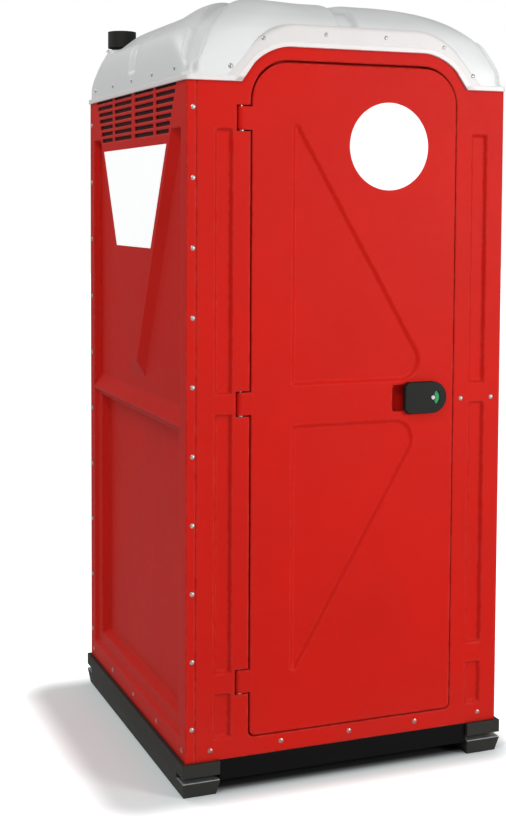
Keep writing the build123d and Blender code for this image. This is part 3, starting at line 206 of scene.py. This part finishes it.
def moulded_skin():
    """The skin of moulded plastic: grain, slow waves, edges paler from rubbing and from a painted highlight,
    blotches, and dust near the ground.
    """
    group, given, result = shader_group(
        "moulded skin",
        [("Colour", "Color", black), ("Rubbed And Highlit", "Color", black_rubbed_highlit), ("Deep", "Color", black_deep),
         ("Dust", "Color", dust), ("Grain Scale", "Float", 700.0), ("Grain Height", "Float", 0.0001),
         ("Wave Height", "Float", 0.0015), ("Edge Width", "Float", 0.004), ("Edge Wear And Highlight", "Float", 0.35),
         ("Dust Amount", "Float", 0.3), ("Roughness", "Float", 0.42)],
        [("Colour", "Color"), ("Roughness", "Float"), ("Normal", "Vector")])
    place = add(group, "TexCoord", {}).outputs["Object"]
    rounded = add(group, "Bevel", {"Radius": given["Edge Width"]}, samples=4).outputs["Normal"]
    face = add(group, "NewGeometry", {}).outputs["Normal"]
    facing = add(group, "VectorMath", {0: rounded, 1: face}, operation="DOT_PRODUCT").outputs["Value"]
    # Paler patches along the rounded edges: wear, and a painted highlight.
    edge = add(group, "MapRange", {"Value": facing, "From Min": 0.995, "From Max": 0.90})
    scuffs = add(group, "TexNoise", {"Vector": place, "Scale": 38.0, "Detail": 6.0, "Roughness": 0.7})
    edge_patches = add(group, "MapRange", {"Value": scuffs.outputs["Fac"], "From Min": 0.40, "From Max": 0.62})
    worn_and_highlit = add(group, "Math", {0: edge.outputs["Result"], 1: edge_patches.outputs["Result"]}, operation="MULTIPLY")
    worn_and_highlit = add(group, "Math", {0: worn_and_highlit.outputs[0], 1: given["Edge Wear And Highlight"]}, operation="MULTIPLY")

    cloud = add(group, "TexNoise", {"Vector": place, "Scale": 3.2, "Detail": 4.0, "Roughness": 0.55})
    blotch = add(group, "MapRange", {"Value": cloud.outputs["Fac"], "From Min": 0.35, "From Max": 0.75,
                                     "To Max": 0.4})
    height = add(group, "SeparateXYZ", {0: place}).outputs["Z"]
    low = add(group, "MapRange", {"Value": height, "From Min": 0.55, "From Max": 0.0})
    low = add(group, "Math", {0: low.outputs["Result"], 1: 3.0}, operation="POWER")
    settled_dust = add(group, "Math", {0: low.outputs[0], 1: cloud.outputs["Fac"]}, operation="MULTIPLY")
    settled_dust = add(group, "Math", {0: settled_dust.outputs[0], 1: given["Dust Amount"]},
                       operation="MULTIPLY")
    colour = add(group, "Mix", {0: blotch.outputs["Result"], 6: given["Colour"], 7: given["Deep"]},
                 data_type="RGBA").outputs[2]
    colour = add(group, "Mix", {0: worn_and_highlit.outputs[0], 6: colour, 7: given["Rubbed And Highlit"]},
                 data_type="RGBA").outputs[2]
    colour = add(group, "Mix", {0: settled_dust.outputs[0], 6: colour, 7: given["Dust"]},
                 data_type="RGBA").outputs[2]
    group.links.new(colour, result["Colour"])

    uneven = add(group, "MapRange", {"Value": scuffs.outputs["Fac"], "To Min": -0.06, "To Max": 0.08})
    rough = add(group, "Math", {0: given["Roughness"], 1: uneven.outputs["Result"]}, operation="ADD")
    group.links.new(rough.outputs[0], result["Roughness"])

    swell = add(group, "TexNoise", {"Vector": place, "Scale": 5.0, "Detail": 1.0})
    waves = add(group, "Bump", {"Height": swell.outputs["Fac"], "Distance": given["Wave Height"],
                                "Normal": rounded})
    grain = add(group, "TexNoise", {"Vector": place, "Scale": given["Grain Scale"], "Detail": 2.0})
    skin = add(group, "Bump", {"Height": grain.outputs["Fac"], "Distance": given["Grain Height"],
                               "Normal": waves.outputs["Normal"]})
    group.links.new(skin.outputs["Normal"], result["Normal"])
    return group


def metal_skin():
    """The skin of coated steel: spangle or brushing, dull spots, and fine scratches."""
    group, given, result = shader_group(
        "metal skin",
        [("Colour", "Color", zinc), ("Dull", "Color", zinc_dull), ("Spangle", "Float", 90.0),
         ("Roughness", "Float", 0.35), ("Edge Width", "Float", 0.001)],
        [("Colour", "Color"), ("Roughness", "Float"), ("Normal", "Vector")])
    place = add(group, "TexCoord", {}).outputs["Object"]
    flakes = add(group, "TexVoronoi", {"Vector": place, "Scale": given["Spangle"]})
    tone = add(group, "SeparateColor", {0: flakes.outputs["Color"]}).outputs[0]
    spots = add(group, "TexNoise", {"Vector": place, "Scale": 60.0, "Detail": 5.0})
    share = add(group, "Math", {0: tone, 1: spots.outputs["Fac"]}, operation="MULTIPLY")
    colour = add(group, "Mix", {0: share.outputs[0], 6: given["Colour"], 7: given["Dull"]},
                 data_type="RGBA").outputs[2]
    group.links.new(colour, result["Colour"])
    uneven = add(group, "MapRange", {"Value": spots.outputs["Fac"], "To Min": -0.1, "To Max": 0.15})
    rough = add(group, "Math", {0: given["Roughness"], 1: uneven.outputs["Result"]}, operation="ADD")
    group.links.new(rough.outputs[0], result["Roughness"])
    rounded = add(group, "Bevel", {"Radius": given["Edge Width"]}, samples=4).outputs["Normal"]
    scratched = add(group, "Bump", {"Height": spots.outputs["Fac"], "Distance": 0.0001, "Normal": rounded})
    group.links.new(scratched.outputs["Normal"], result["Normal"])
    return group


plastic_group = moulded_skin()
metal_group = metal_skin()


def skinned(name, group, values, **sockets):
    """A material whose colour, roughness and normal come from a group with its own values."""
    material, shader = finish(name, **sockets)
    tree = material.node_tree
    skin = tree.nodes.new("ShaderNodeGroup")
    skin.node_tree = group
    for label, value in values.items():
        skin.inputs[label].default_value = value
    for label, socket in (("Colour", "Base Color"), ("Roughness", "Roughness"), ("Normal", "Normal")):
        tree.links.new(skin.outputs[label], shader.inputs[socket])
    return material


def coat(material, *names):
    """Gives CAD parts a material."""
    for name in names:
        nodes[name].data.materials.clear()
        nodes[name].data.materials.append(material)


base_finish = skinned("runner black", plastic_group, {"Grain Scale": 500.0, "Grain Height": 0.0003,
                                                      "Dust Amount": 0.12, "Roughness": 0.6},
                      Specular_IOR_Level=0.3)
# Painted shade: the tray is a darker black than the runners.
tray_finish = skinned("tray black", plastic_group,
                      {"Colour": tray_painted_shade_black, "Rubbed And Highlit": black, "Deep": tray_painted_shade_black, "Dust Amount": 0.0,
                       "Roughness": 0.6}, Specular_IOR_Level=0.1)
screw_tint_finish = skinned("red-tinted screw metal", metal_group, {"Colour": screw_red_tint, "Dull": screw_red_tint_dull,
                                                      "Roughness": 0.3}, Metallic=0.85)
zinc_finish = skinned("zinc plate", metal_group, {"Roughness": 0.35}, Metallic=0.9)
galvanised_finish = skinned("galvanised plate", metal_group,
                            {"Colour": galvanised, "Dull": galvanised_dull, "Spangle": 120.0,
                             "Roughness": 0.45}, Metallic=0.8)
coat(base_finish, "runner_left", "runner_right")
coat(tray_finish, "base_tray")
coat(screw_tint_finish, "base_screws")
coat(galvanised_finish, "tie_down_plates", "strike_plate")
coat(zinc_finish, "corner_rivets", "roof_screws", "strike_rivets", "latch_screws",
     "hinge_pins", "latch_spindle", "seat_hinge_pin")


# Walls, door frame and door skin. They are pressed from red polyethylene sheet, satin with a fine grain,
# a little wavy over the wide flats, rounded at every pressed edge, and paler at the edges, from rubbing and
# from a painted edge highlight.
red = (0.665, 0.009, 0.003, 1)
red_rubbed_highlit = (0.80, 0.13, 0.11, 1)
red_deep = (0.52, 0.010, 0.007, 1)
red_dust = (0.45, 0.20, 0.16, 1)

red_finish = skinned("moulded red", plastic_group,
                     {"Colour": red, "Rubbed And Highlit": red_rubbed_highlit, "Deep": red_deep, "Dust": red_dust,
                      "Edge Width": 0.010, "Dust Amount": 0.12, "Wave Height": 0.003,
                      "Roughness": 0.5}, Specular_IOR_Level=0.11)
coat(red_finish, "left_wall", "right_wall", "back_wall", "front_frame", "door_stops", "door_panel")


# Insect screens. A fine mesh lies behind the louvres of the two side walls and the back wall, just wide
# enough for the slots. Its near-black colour is painted shade: the dark inside of the cabin seen through the
# slots.
screen_painted_shade = (0.050, 0.010, 0.008, 1)
screen_painted_shade_deep = (0.025, 0.006, 0.005, 1)
screen_gap = 0.0055
screen_thickness = 0.0015
screen_foot = 1.953
screen_head = 2.109
screen_foot_half = 0.374
screen_head_half = 0.453
back_trim = 0.015
shell_middle = Vector((0.0, 0.0045))
shell_half = Vector((0.5225, 0.5375))

screen_finish = skinned("screen mesh", plastic_group,
                        {"Colour": screen_painted_shade, "Rubbed And Highlit": screen_painted_shade, "Deep": screen_painted_shade_deep,
                         "Grain Scale": 900.0, "Grain Height": 0.0006, "Wave Height": 0.004,
                         "Edge Width": 0.0005, "Dust Amount": 0.0, "Roughness": 0.8},
                        Specular_IOR_Level=0.2)
for name, angle, distance, trim in (("left_screen", 90, shell_half.x, 0.0),
                                    ("right_screen", -90, shell_half.x, 0.0),
                                    ("back_screen", 0, shell_half.y, back_trim)):
    mesh_sheet = bmesh.new()
    bmesh.ops.create_cube(mesh_sheet, size=1)
    size = (2 * screen_head_half - 2 * trim, screen_thickness, screen_head - screen_foot)
    bmesh.ops.scale(mesh_sheet, vec=size, verts=mesh_sheet.verts)
    low = [vert for vert in mesh_sheet.verts if vert.co.z < 0]
    bmesh.ops.scale(mesh_sheet, vec=(screen_foot_half / screen_head_half, 1, 1), verts=low)
    away = distance - screen_gap - screen_thickness / 2
    bmesh.ops.translate(mesh_sheet, vec=(0, away, (screen_head + screen_foot) / 2), verts=mesh_sheet.verts)
    bmesh.ops.rotate(mesh_sheet, matrix=Matrix.Rotation(math.radians(angle), 3, "Z"), verts=mesh_sheet.verts)
    bmesh.ops.translate(mesh_sheet, vec=(shell_middle.x, shell_middle.y, 0), verts=mesh_sheet.verts)
    screen = finished(name, mesh_sheet)
    screen.data.materials.append(screen_finish)
    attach(screen, "cabin")


# Roof. A translucent white polyethylene moulding covers the walls with a steep skirt and a dome of eight
# soft lobes, parted by narrow valleys at the sides' middles and broad ones at the corners.
roof_white = (0.81, 0.82, 0.815, 1)
# The dome is coloured greyer toward its top, between these heights: painted shade.
roof_top_painted_shade = (0.66, 0.67, 0.665, 1)
roof_top_shade_levels = (2.262, 2.310)
roof_rubbed_highlit = (0.88, 0.85, 0.84, 1)
roof_deep = (0.77, 0.785, 0.78, 1)
roof_centre = Vector((0.0, 0.0045))
roof_half = Vector((0.5225, 0.5375))
roof_foot = 2.103
roof_rings = (
    # height, distances in from the side walls and from the front and back, corner radius
    (0.000, -0.0055, -0.0055, 0.015), (0.012, -0.0055, -0.0055, 0.018), (0.040, -0.0055, -0.0055, 0.026),
    (0.072, -0.0050, -0.0050, 0.055), (0.104, -0.0020, -0.0020, 0.096), (0.132, 0.003, 0.003, 0.122),
    (0.154, 0.013, 0.011, 0.135), (0.170, 0.033, 0.023, 0.138), (0.192, 0.062, 0.040, 0.140),
    (0.224, 0.112, 0.074, 0.150), (0.252, 0.180, 0.125, 0.165), (0.268, 0.270, 0.215, 0.160),
    (0.290, 0.400, 0.400, 0.110),
)
roof_thickness = 0.005
level_spread = 1e-6
dome_height = 0.274
dome_radius = 7.0
dome_fineness = 3
side_cuts = 11
corner_segments = 3
crease = 0.008
# Each valley has a distance in from the edge and a height at its foot, the same at its top, and a radius.
side_valley = (0.110, 0.217, 0.400, 0.276, 0.057)
front_valley = (0.110, 0.238, 0.400, 0.276, 0.057)
corner_valley = (0.100, 0.182, 0.400, 0.292, 0.120)
# The lobes stand proud of the gaps between them. A pair is where a gap starts to fade, and where it ends.
lobe_proud = 0.014
lobe_start = (0.25, 0.40)  # from the roof's middle
lobe_foot = (0.058, 0.076)
lobe_foot_over_fascia = (0.176, 0.190)
side_gap = (0.020, 0.034)
corner_gap = (0.024, 0.032)
corner_gap_low = (0.018, 0.026)
corner_foot = (0.010, 0.030)
side_dip = (0.158, 0.170, 0.184, 0.224)
side_dip_share = 0.6
# The fascia hides the foot of the front lobes.
behind_fascia_half = 0.40
behind_fascia_depth = 0.12
# The front left lobe is a little higher than the others, from these distances and heights on.
front_left_rise = 0.014
front_left_across = (0.10, 0.30)
front_left_along = (0.12, 0.34)
front_left_height = (0.17, 0.24)
# A boss carries the vent.
vent_place = Vector((-0.4395, 0.422))
boss_radius = 0.056
boss_height = 0.188
boss_slope = 7
boss_softness = 0.004


def settle(piece):
    """Makes a piece's modifiers part of its mesh."""
    view = bpy.context.evaluated_depsgraph_get()
    mesh = bpy.data.meshes.new_from_object(piece.evaluated_get(view))
    piece.modifiers.clear()
    piece.data = mesh


def rounded_square(shape, half_x, half_y, height, corner, segments):
    """A level rounded rectangle about the roof's middle, as one face."""
    verts = bmesh.ops.create_grid(shape, x_segments=1, y_segments=1, size=1)["verts"]
    bmesh.ops.scale(shape, vec=(half_x, half_y, 1), verts=verts)
    bmesh.ops.translate(shape, vec=(roof_centre.x, roof_centre.y, height), verts=verts)
    face = verts[0].link_faces[0]
    bmesh.ops.bevel(shape, geom=verts, offset=corner, segments=segments, profile=0.5, affect="VERTICES",
                    material=-1)
    return [face for face in shape.faces
            if all(abs(vert.co.z - height) < level_spread for vert in face.verts)][0]


def soft_least(first, second, softness):
    """The lesser of two heights, with the crease between them rounded."""
    share = max(softness - abs(first - second), 0) / softness
    return min(first, second) - share * share * softness / 4


def step(value, low, high):
    """A smooth step from 0 to 1 between two values."""
    share = min(max((value - low) / (high - low), 0), 1)
    return share * share * (3 - 2 * share)


def valley_floor(offset, direction, valley):
    """The height of a valley's trough over a point of the roof, or a great height clear of it."""
    inset_a, rise_a, inset_b, rise_b, radius = valley
    along = Vector(direction).normalized()
    reach = min(abs(along.x) * roof_half.x + abs(along.y) * roof_half.y, roof_half.length)
    distance = offset.dot(along)
    aside = abs(offset.x * along.y - offset.y * along.x)
    if distance < 0 or aside >= radius:
        return 1.0
    line = rise_a + (reach - distance - inset_a) * (rise_b - rise_a) / (inset_b - inset_a)
    return line + radius - math.sqrt(radius * radius - aside * aside)


dome = bmesh.new()
loops = []
for height, inset_x, inset_y, corner in roof_rings:
    face = rounded_square(dome, roof_half.x - inset_x, roof_half.y - inset_y, roof_foot + height,
                          corner, corner_segments)
    sides = sorted(face.edges, key=lambda edge: edge.calc_length())[-4:]
    bmesh.ops.subdivide_edges(dome, edges=sides, cuts=side_cuts)
    level = [edge for edge in dome.edges
             if all(abs(vert.co.z - roof_foot - height) < level_spread for vert in edge.verts)]
    bmesh.ops.delete(dome, geom=list(dome.faces), context="FACES_ONLY")
    loops.append(level)
for lower, upper in zip(loops, loops[1:]):
    bmesh.ops.bridge_loops(dome, edges=lower + upper)
bmesh.ops.contextual_create(dome, geom=loops[-1])
bmesh.ops.recalc_face_normals(dome, faces=dome.faces)
roof_dome = finished("roof_dome", dome)
fine = roof_dome.modifiers.new("fine", "SUBSURF")
fine.levels = fine.render_levels = dome_fineness
settle(roof_dome)

for vert in roof_dome.data.vertices:
    offset = Vector((vert.co.x, vert.co.y)) - roof_centre
    ball = dome_height - dome_radius + math.sqrt(dome_radius ** 2 - offset.length_squared)
    height = soft_least(vert.co.z - roof_foot, ball, crease)
    for direction, cut in (((1, 0), side_valley), ((-1, 0), side_valley),
                           ((0, 1), front_valley), ((0, -1), front_valley)):
        height = soft_least(height, valley_floor(offset, direction, cut), crease)
    for direction in ((1, 1), (-1, 1), (1, -1), (-1, -1)):
        height = soft_least(height, valley_floor(offset, direction, corner_valley), crease)
    from_vent = (Vector((vert.co.x, vert.co.y)) - vent_place).length
    boss = boss_height - max(from_vent - boss_radius, 0) * boss_slope
    height = -soft_least(-height, -boss, boss_softness)
    proud = step(-offset.x, *front_left_across) * step(-offset.y, *front_left_along)
    proud *= step(height, *front_left_height)
    vert.co.z = roof_foot + height + front_left_rise * proud

roof_dome.data.update()
grooves = []
for vert in roof_dome.data.vertices:
    offset = Vector((vert.co.x, vert.co.y)) - roof_centre
    from_side = min(abs(offset.x), abs(offset.y))
    from_diagonal = abs(abs(offset.x / roof_half.x) - abs(offset.y / roof_half.y))
    from_diagonal *= roof_half.x / math.sqrt(2)
    height = vert.co.z - roof_foot
    behind_fascia = offset.y < behind_fascia_depth - roof_half.y and abs(offset.x) < behind_fascia_half
    side_share = 1 - step(from_side, *side_gap)
    side_share *= step(height, *(lobe_foot_over_fascia if behind_fascia else lobe_foot))
    widening = step(height, *lobe_foot)
    gap = [low + (high - low) * widening for low, high in zip(corner_gap_low, corner_gap)]
    corner_share = (1 - step(from_diagonal, *gap)) * step(height, *corner_foot)
    dip_share = 0
    if abs(offset.x / roof_half.x) > abs(offset.y / roof_half.y):
        dip_share = side_dip_share * step(height, *side_dip[:2]) * (1 - step(height, *side_dip[2:]))
    share = max(side_share, corner_share, dip_share) * step(offset.length, *lobe_start)
    grooves.append(vert.normal * (lobe_proud * share))
for vert, groove in zip(roof_dome.data.vertices, grooves):
    vert.co -= groove

ease = roof_dome.modifiers.new("ease", "SMOOTH")
ease.iterations = 1
wall = roof_dome.modifiers.new("wall", "SOLIDIFY")
wall.thickness = roof_thickness
wall.offset = -1
settle(roof_dome)


# Roof front. The same moulding has a raised flat fascia arched over the door, with a rounded upper edge,
# and a small lip all along the roof's lower edge.
door_middle = 0.0175
front_plane = -0.533
# Each outline has a half width at the foot and at the shoulder, a rise, and a corner radius.
arch = (0.380, 0.291, 0.106, 0.150)
fascia = (0.445, 0.280, 0.174, 0.190)
arch_segments = 14
fascia_proud = 0.0065
fascia_depth = 0.110
fascia_rounding = 0.012
fascia_segments = 5
lip_height = 0.015
lip_proud = 0.0078
lip_corner = 0.0175
lip_inside = 0.0025
lip_inside_corner = 0.0125
lip_segments = 6
lip_rounding = 0.002
opening_ahead = 0.05
opening_behind = 0.006
cutter_spare = 0.01
hollow_height = 0.1
# The fascia and lip are the roof's white plastic in their own tones, tinted pink as painted light: red
# reflected from the walls on the fascia, and red light through the lip, which is also lighter than the dome.
fascia_pink_painted_light = (0.76, 0.725, 0.715, 1)
fascia_deep_pink_painted_light = (0.72, 0.68, 0.67, 1)
lip_pink_painted_light = (0.86, 0.80, 0.79, 1)
lip_rubbed_highlit = (0.90, 0.88, 0.87, 1)
lip_deep_pink_painted_light = (0.80, 0.74, 0.73, 1)


def thickened(shape, faces, move):
    """Makes flat faces into a solid by sweeping them along."""
    grown = bmesh.ops.extrude_face_region(shape, geom=faces)
    moved = [item for item in grown["geom"] if isinstance(item, bmesh.types.BMVert)]
    bmesh.ops.translate(shape, vec=move, verts=moved)
    bmesh.ops.recalc_face_normals(shape, faces=shape.faces)
    return shape


def arched_block(outline, grow, front, back):
    """A block shaped as a low arch about the door's middle, on the roof's lower edge."""
    foot, shoulder, rise, radius = outline
    run = foot - shoulder
    length = math.hypot(run, rise)
    low = foot + grow * length / rise
    high = low - (rise + grow) * run / rise
    tangent = (radius + grow) * math.tan(math.atan2(rise, run) / 2)
    shape = bmesh.new()
    verts = bmesh.ops.create_grid(shape, x_segments=1, y_segments=1, size=1)["verts"]
    top = [vert for vert in verts if vert.co.y > 0]
    for vert in verts:
        half, level = (high, rise + grow) if vert in top else (low, 0)
        vert.co = (door_middle + vert.co.x * half, front, roof_foot + level)
    bmesh.ops.bevel(shape, geom=top, offset=tangent, segments=arch_segments, profile=0.5,
                    affect="VERTICES", material=-1)
    return thickened(shape, list(shape.faces), (0, back - front, 0))


def past_foot(cutter):
    """A cutter that reaches a little below the roof's lower edge."""
    low = [vert for vert in cutter.verts if vert.co.z < roof_foot + level_spread]
    bmesh.ops.translate(cutter, vec=(0, 0, -cutter_spare), verts=low)
    return cutter


def cut_out(piece, *cutters):
    """Cuts other objects' shapes out of a piece, and removes them."""
    for cutter in cutters:
        cut = piece.modifiers.new("cut", "BOOLEAN")
        cut.operation = "DIFFERENCE"
        cut.solver = "EXACT"
        cut.object = cutter
        settle(piece)
        bpy.data.objects.remove(cutter)


def opening():
    """The space under the arch, through the roof's front."""
    return finished("opening", past_foot(arched_block(arch, 0, front_plane - opening_ahead,
                                                      front_plane + opening_behind)))


cut_out(roof_dome, opening())

hood = arched_block(fascia, 0, front_plane - fascia_proud, front_plane + fascia_depth)
front_edges = [edge for edge in hood.edges
               if all(vert.co.y < front_plane - fascia_proud + level_spread for vert in edge.verts)
               and max(vert.co.z for vert in edge.verts) > roof_foot + level_spread]
bmesh.ops.bevel(hood, geom=front_edges, offset=fascia_rounding, segments=fascia_segments, profile=0.5,
                affect="EDGES", material=-1)
roof_fascia = finished("roof_fascia", hood)
inside = past_foot(arched_block(fascia, -roof_thickness, front_plane - fascia_proud + roof_thickness,
                                front_plane + 2 * fascia_depth))
cut_out(roof_fascia, opening(), finished("inside", inside))

arch_lip = finished("roof_arch_lip", arched_block(arch, lip_height, front_plane - lip_proud, front_plane))
cut_out(arch_lip, opening())

rim = bmesh.new()
rim_face = rounded_square(rim, roof_half.x + lip_proud, roof_half.y + lip_proud, roof_foot, lip_corner,
                          lip_segments)
roof_lip = finished("roof_lip", thickened(rim, [rim_face], (0, 0, lip_height)))
hollow = bmesh.new()
hollow_face = rounded_square(hollow, roof_half.x + lip_inside, roof_half.y + lip_inside,
                             roof_foot - cutter_spare, lip_inside_corner, lip_segments)
cut_out(roof_lip, finished("hollow", thickened(hollow, [hollow_face], (0, 0, hollow_height))), opening())

# The roof's edges are made paler more strongly than the walls': wear, and a painted highlight of light
# carried through the translucent plastic.
roof_values = {"Colour": roof_white, "Rubbed And Highlit": roof_rubbed_highlit, "Deep": roof_deep, "Edge Width": 0.004,
               "Edge Wear And Highlight": 0.5, "Dust Amount": 0.0, "Wave Height": 0.006, "Roughness": 0.40}
roof_finish = skinned("roof plastic", plastic_group, roof_values)
tree = roof_finish.node_tree
# Painted shade: the dome turns greyer toward its top.
height = add(tree, "SeparateXYZ", {0: add(tree, "TexCoord", {}).outputs["Object"]}).outputs["Z"]
top_shade = add(tree, "MapRange", {"Value": height, "From Min": roof_top_shade_levels[0],
                               "From Max": roof_top_shade_levels[1]})
colour = add(tree, "Mix", {0: top_shade.outputs["Result"], 6: roof_white, 7: roof_top_painted_shade},
             data_type="RGBA").outputs[2]
tree.links.new(colour, tree.nodes["Group"].inputs["Colour"])
# Painted light: the fascia's pink tint.
fascia_finish = skinned("roof fascia", plastic_group,
                        {**roof_values, "Colour": fascia_pink_painted_light, "Deep": fascia_deep_pink_painted_light})
lip_finish = skinned("roof lip", plastic_group,
                     {"Colour": lip_pink_painted_light, "Rubbed And Highlit": lip_rubbed_highlit, "Deep": lip_deep_pink_painted_light, "Edge Wear And Highlight": 0.5,
                      "Dust Amount": 0.0, "Edge Width": 0.002, "Roughness": 0.4})
for piece, material in ((roof_dome, roof_finish), (roof_fascia, fascia_finish),
                        (arch_lip, lip_finish), (roof_lip, lip_finish)):
    for face in piece.data.polygons:
        face.use_smooth = True
    if piece is not roof_dome:
        soft = piece.modifiers.new("edges", "BEVEL")
        soft.width = lip_rounding
        soft.segments = 2
        soft.limit_method = "ANGLE"
        soft.angle_limit = math.radians(50)
    piece.modifiers.new("even shading", "WEIGHTED_NORMAL")
    piece.data.materials.clear()
    piece.data.materials.append(material)
    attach(piece, "cabin")
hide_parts("roof_shell")


# Vent. A black pipe rises from the tank through the roof and ends in a ribbed cap.
coat(base_finish, "vent_pipe", "vent_cap")


# Labels. White vinyl film with a satin gloss, one round on the door and one tapered on the left wall. Both
# glow a little, the side label more, so that they read white in shade: painted light.
label_white = (0.90, 0.90, 0.90, 1)
label_deep = (0.80, 0.80, 0.81, 1)
painted_glows = (("round_label", 0.12), ("side_label", 0.45))

for name, painted_glow in painted_glows:
    label_finish = skinned("white film of the " + name.replace("_", " "), plastic_group,
                           {"Colour": label_white, "Rubbed And Highlit": label_white, "Deep": label_deep,
                            "Edge Width": 0.0004, "Edge Wear And Highlight": 0.0, "Dust Amount": 0.0, "Wave Height": 0.002,
                            "Grain Height": 0.00002, "Roughness": 0.35},
                           Emission_Color=(1, 1, 1, 1), Emission_Strength=painted_glow)
    coat(label_finish, name)


# Latch. A black cover with a fine grain holds a zinc spindle and a disc whose green half shows that the
# door is free, and whose red half turns into the window when it is locked. The rest is on the inside.
turn_axis = (0.2755, 0.0, 1.155)
across_halves = (-0.899, 0.0, 0.438)
latch_black = (0.014, 0.015, 0.013, 1)
latch_rubbed_highlit = (0.06, 0.06, 0.06, 1)
latch_deep = (0.009, 0.009, 0.009, 1)
indicator_green = (0.03, 0.36, 0.13, 1)
indicator_red = (0.50, 0.02, 0.015, 1)

latch_finish = skinned("latch black", plastic_group,
                       {"Colour": latch_black, "Rubbed And Highlit": latch_rubbed_highlit, "Deep": latch_deep,
                        "Grain Scale": 320.0, "Grain Height": 0.0004, "Edge Width": 0.004,
                        "Dust Amount": 0.0, "Wave Height": 0.0, "Roughness": 0.5},
                       Specular_IOR_Level=0.15)
indicator_finish = skinned("indicator halves", plastic_group,
                           {"Colour": indicator_green, "Rubbed And Highlit": indicator_green, "Edge Wear And Highlight": 0.0,
                            "Dust Amount": 0.0, "Roughness": 0.25})
tree = indicator_finish.node_tree
place = add(tree, "TexCoord", {}).outputs["Object"]
from_axis = add(tree, "VectorMath", {0: place, 1: turn_axis}, operation="SUBTRACT").outputs["Vector"]
past = add(tree, "VectorMath", {0: from_axis, 1: across_halves}, operation="DOT_PRODUCT").outputs["Value"]
half = add(tree, "Math", {0: past, 1: 0.0}, operation="GREATER_THAN").outputs[0]
halves = add(tree, "Mix", {0: half, 6: indicator_green, 7: indicator_red}, data_type="RGBA").outputs[2]
for label in ("Colour", "Deep"):
    tree.links.new(halves, tree.nodes["Group"].inputs[label])
coat(latch_finish, "latch_cover", "latch_backplate", "latch_knob", "latch_case", "latch_crank",
     "latch_bolt", "door_pull", "coat_hook")
coat(indicator_finish, "indicator_disc")


# Inside. The liner, floor, tank, deck, urinal and roll holder are grey polyethylene, the seat is glossy
# black, and the roll is soft paper.
grey = (0.50, 0.52, 0.52, 1)
grey_rubbed_highlit = (0.62, 0.63, 0.63, 1)
grey_deep = (0.42, 0.44, 0.44, 1)
seat_black = (0.03, 0.03, 0.03, 1)
paper = (0.85, 0.84, 0.80, 1)
paper_rubbed_highlit = (0.90, 0.90, 0.88, 1)
paper_deep = (0.78, 0.77, 0.73, 1)

grey_finish = skinned("inner grey", plastic_group, {"Colour": grey, "Rubbed And Highlit": grey_rubbed_highlit,
                                                    "Deep": grey_deep, "Roughness": 0.5})
seat_finish = skinned("seat black", plastic_group,
                      {"Colour": seat_black, "Dust Amount": 0.0, "Roughness": 0.3,
                       "Edge Width": 0.003, "Edge Wear And Highlight": 0.05, "Wave Height": 0.0005})
paper_finish = skinned("paper", plastic_group,
                       {"Colour": paper, "Rubbed And Highlit": paper_rubbed_highlit, "Deep": paper_deep,
                        "Grain Scale": 260.0, "Grain Height": 0.0006, "Dust Amount": 0.0,
                        "Roughness": 0.9})
coat(grey_finish, "door_liner", "floor_panel", "waste_tank", "seat_deck", "seat_hinge_lugs", "urinal",
     "urinal_pipe", "pipe_clips", "roll_holder")
coat(seat_finish, "seat_ring", "seat_lid")
coat(paper_finish, "paper_roll")
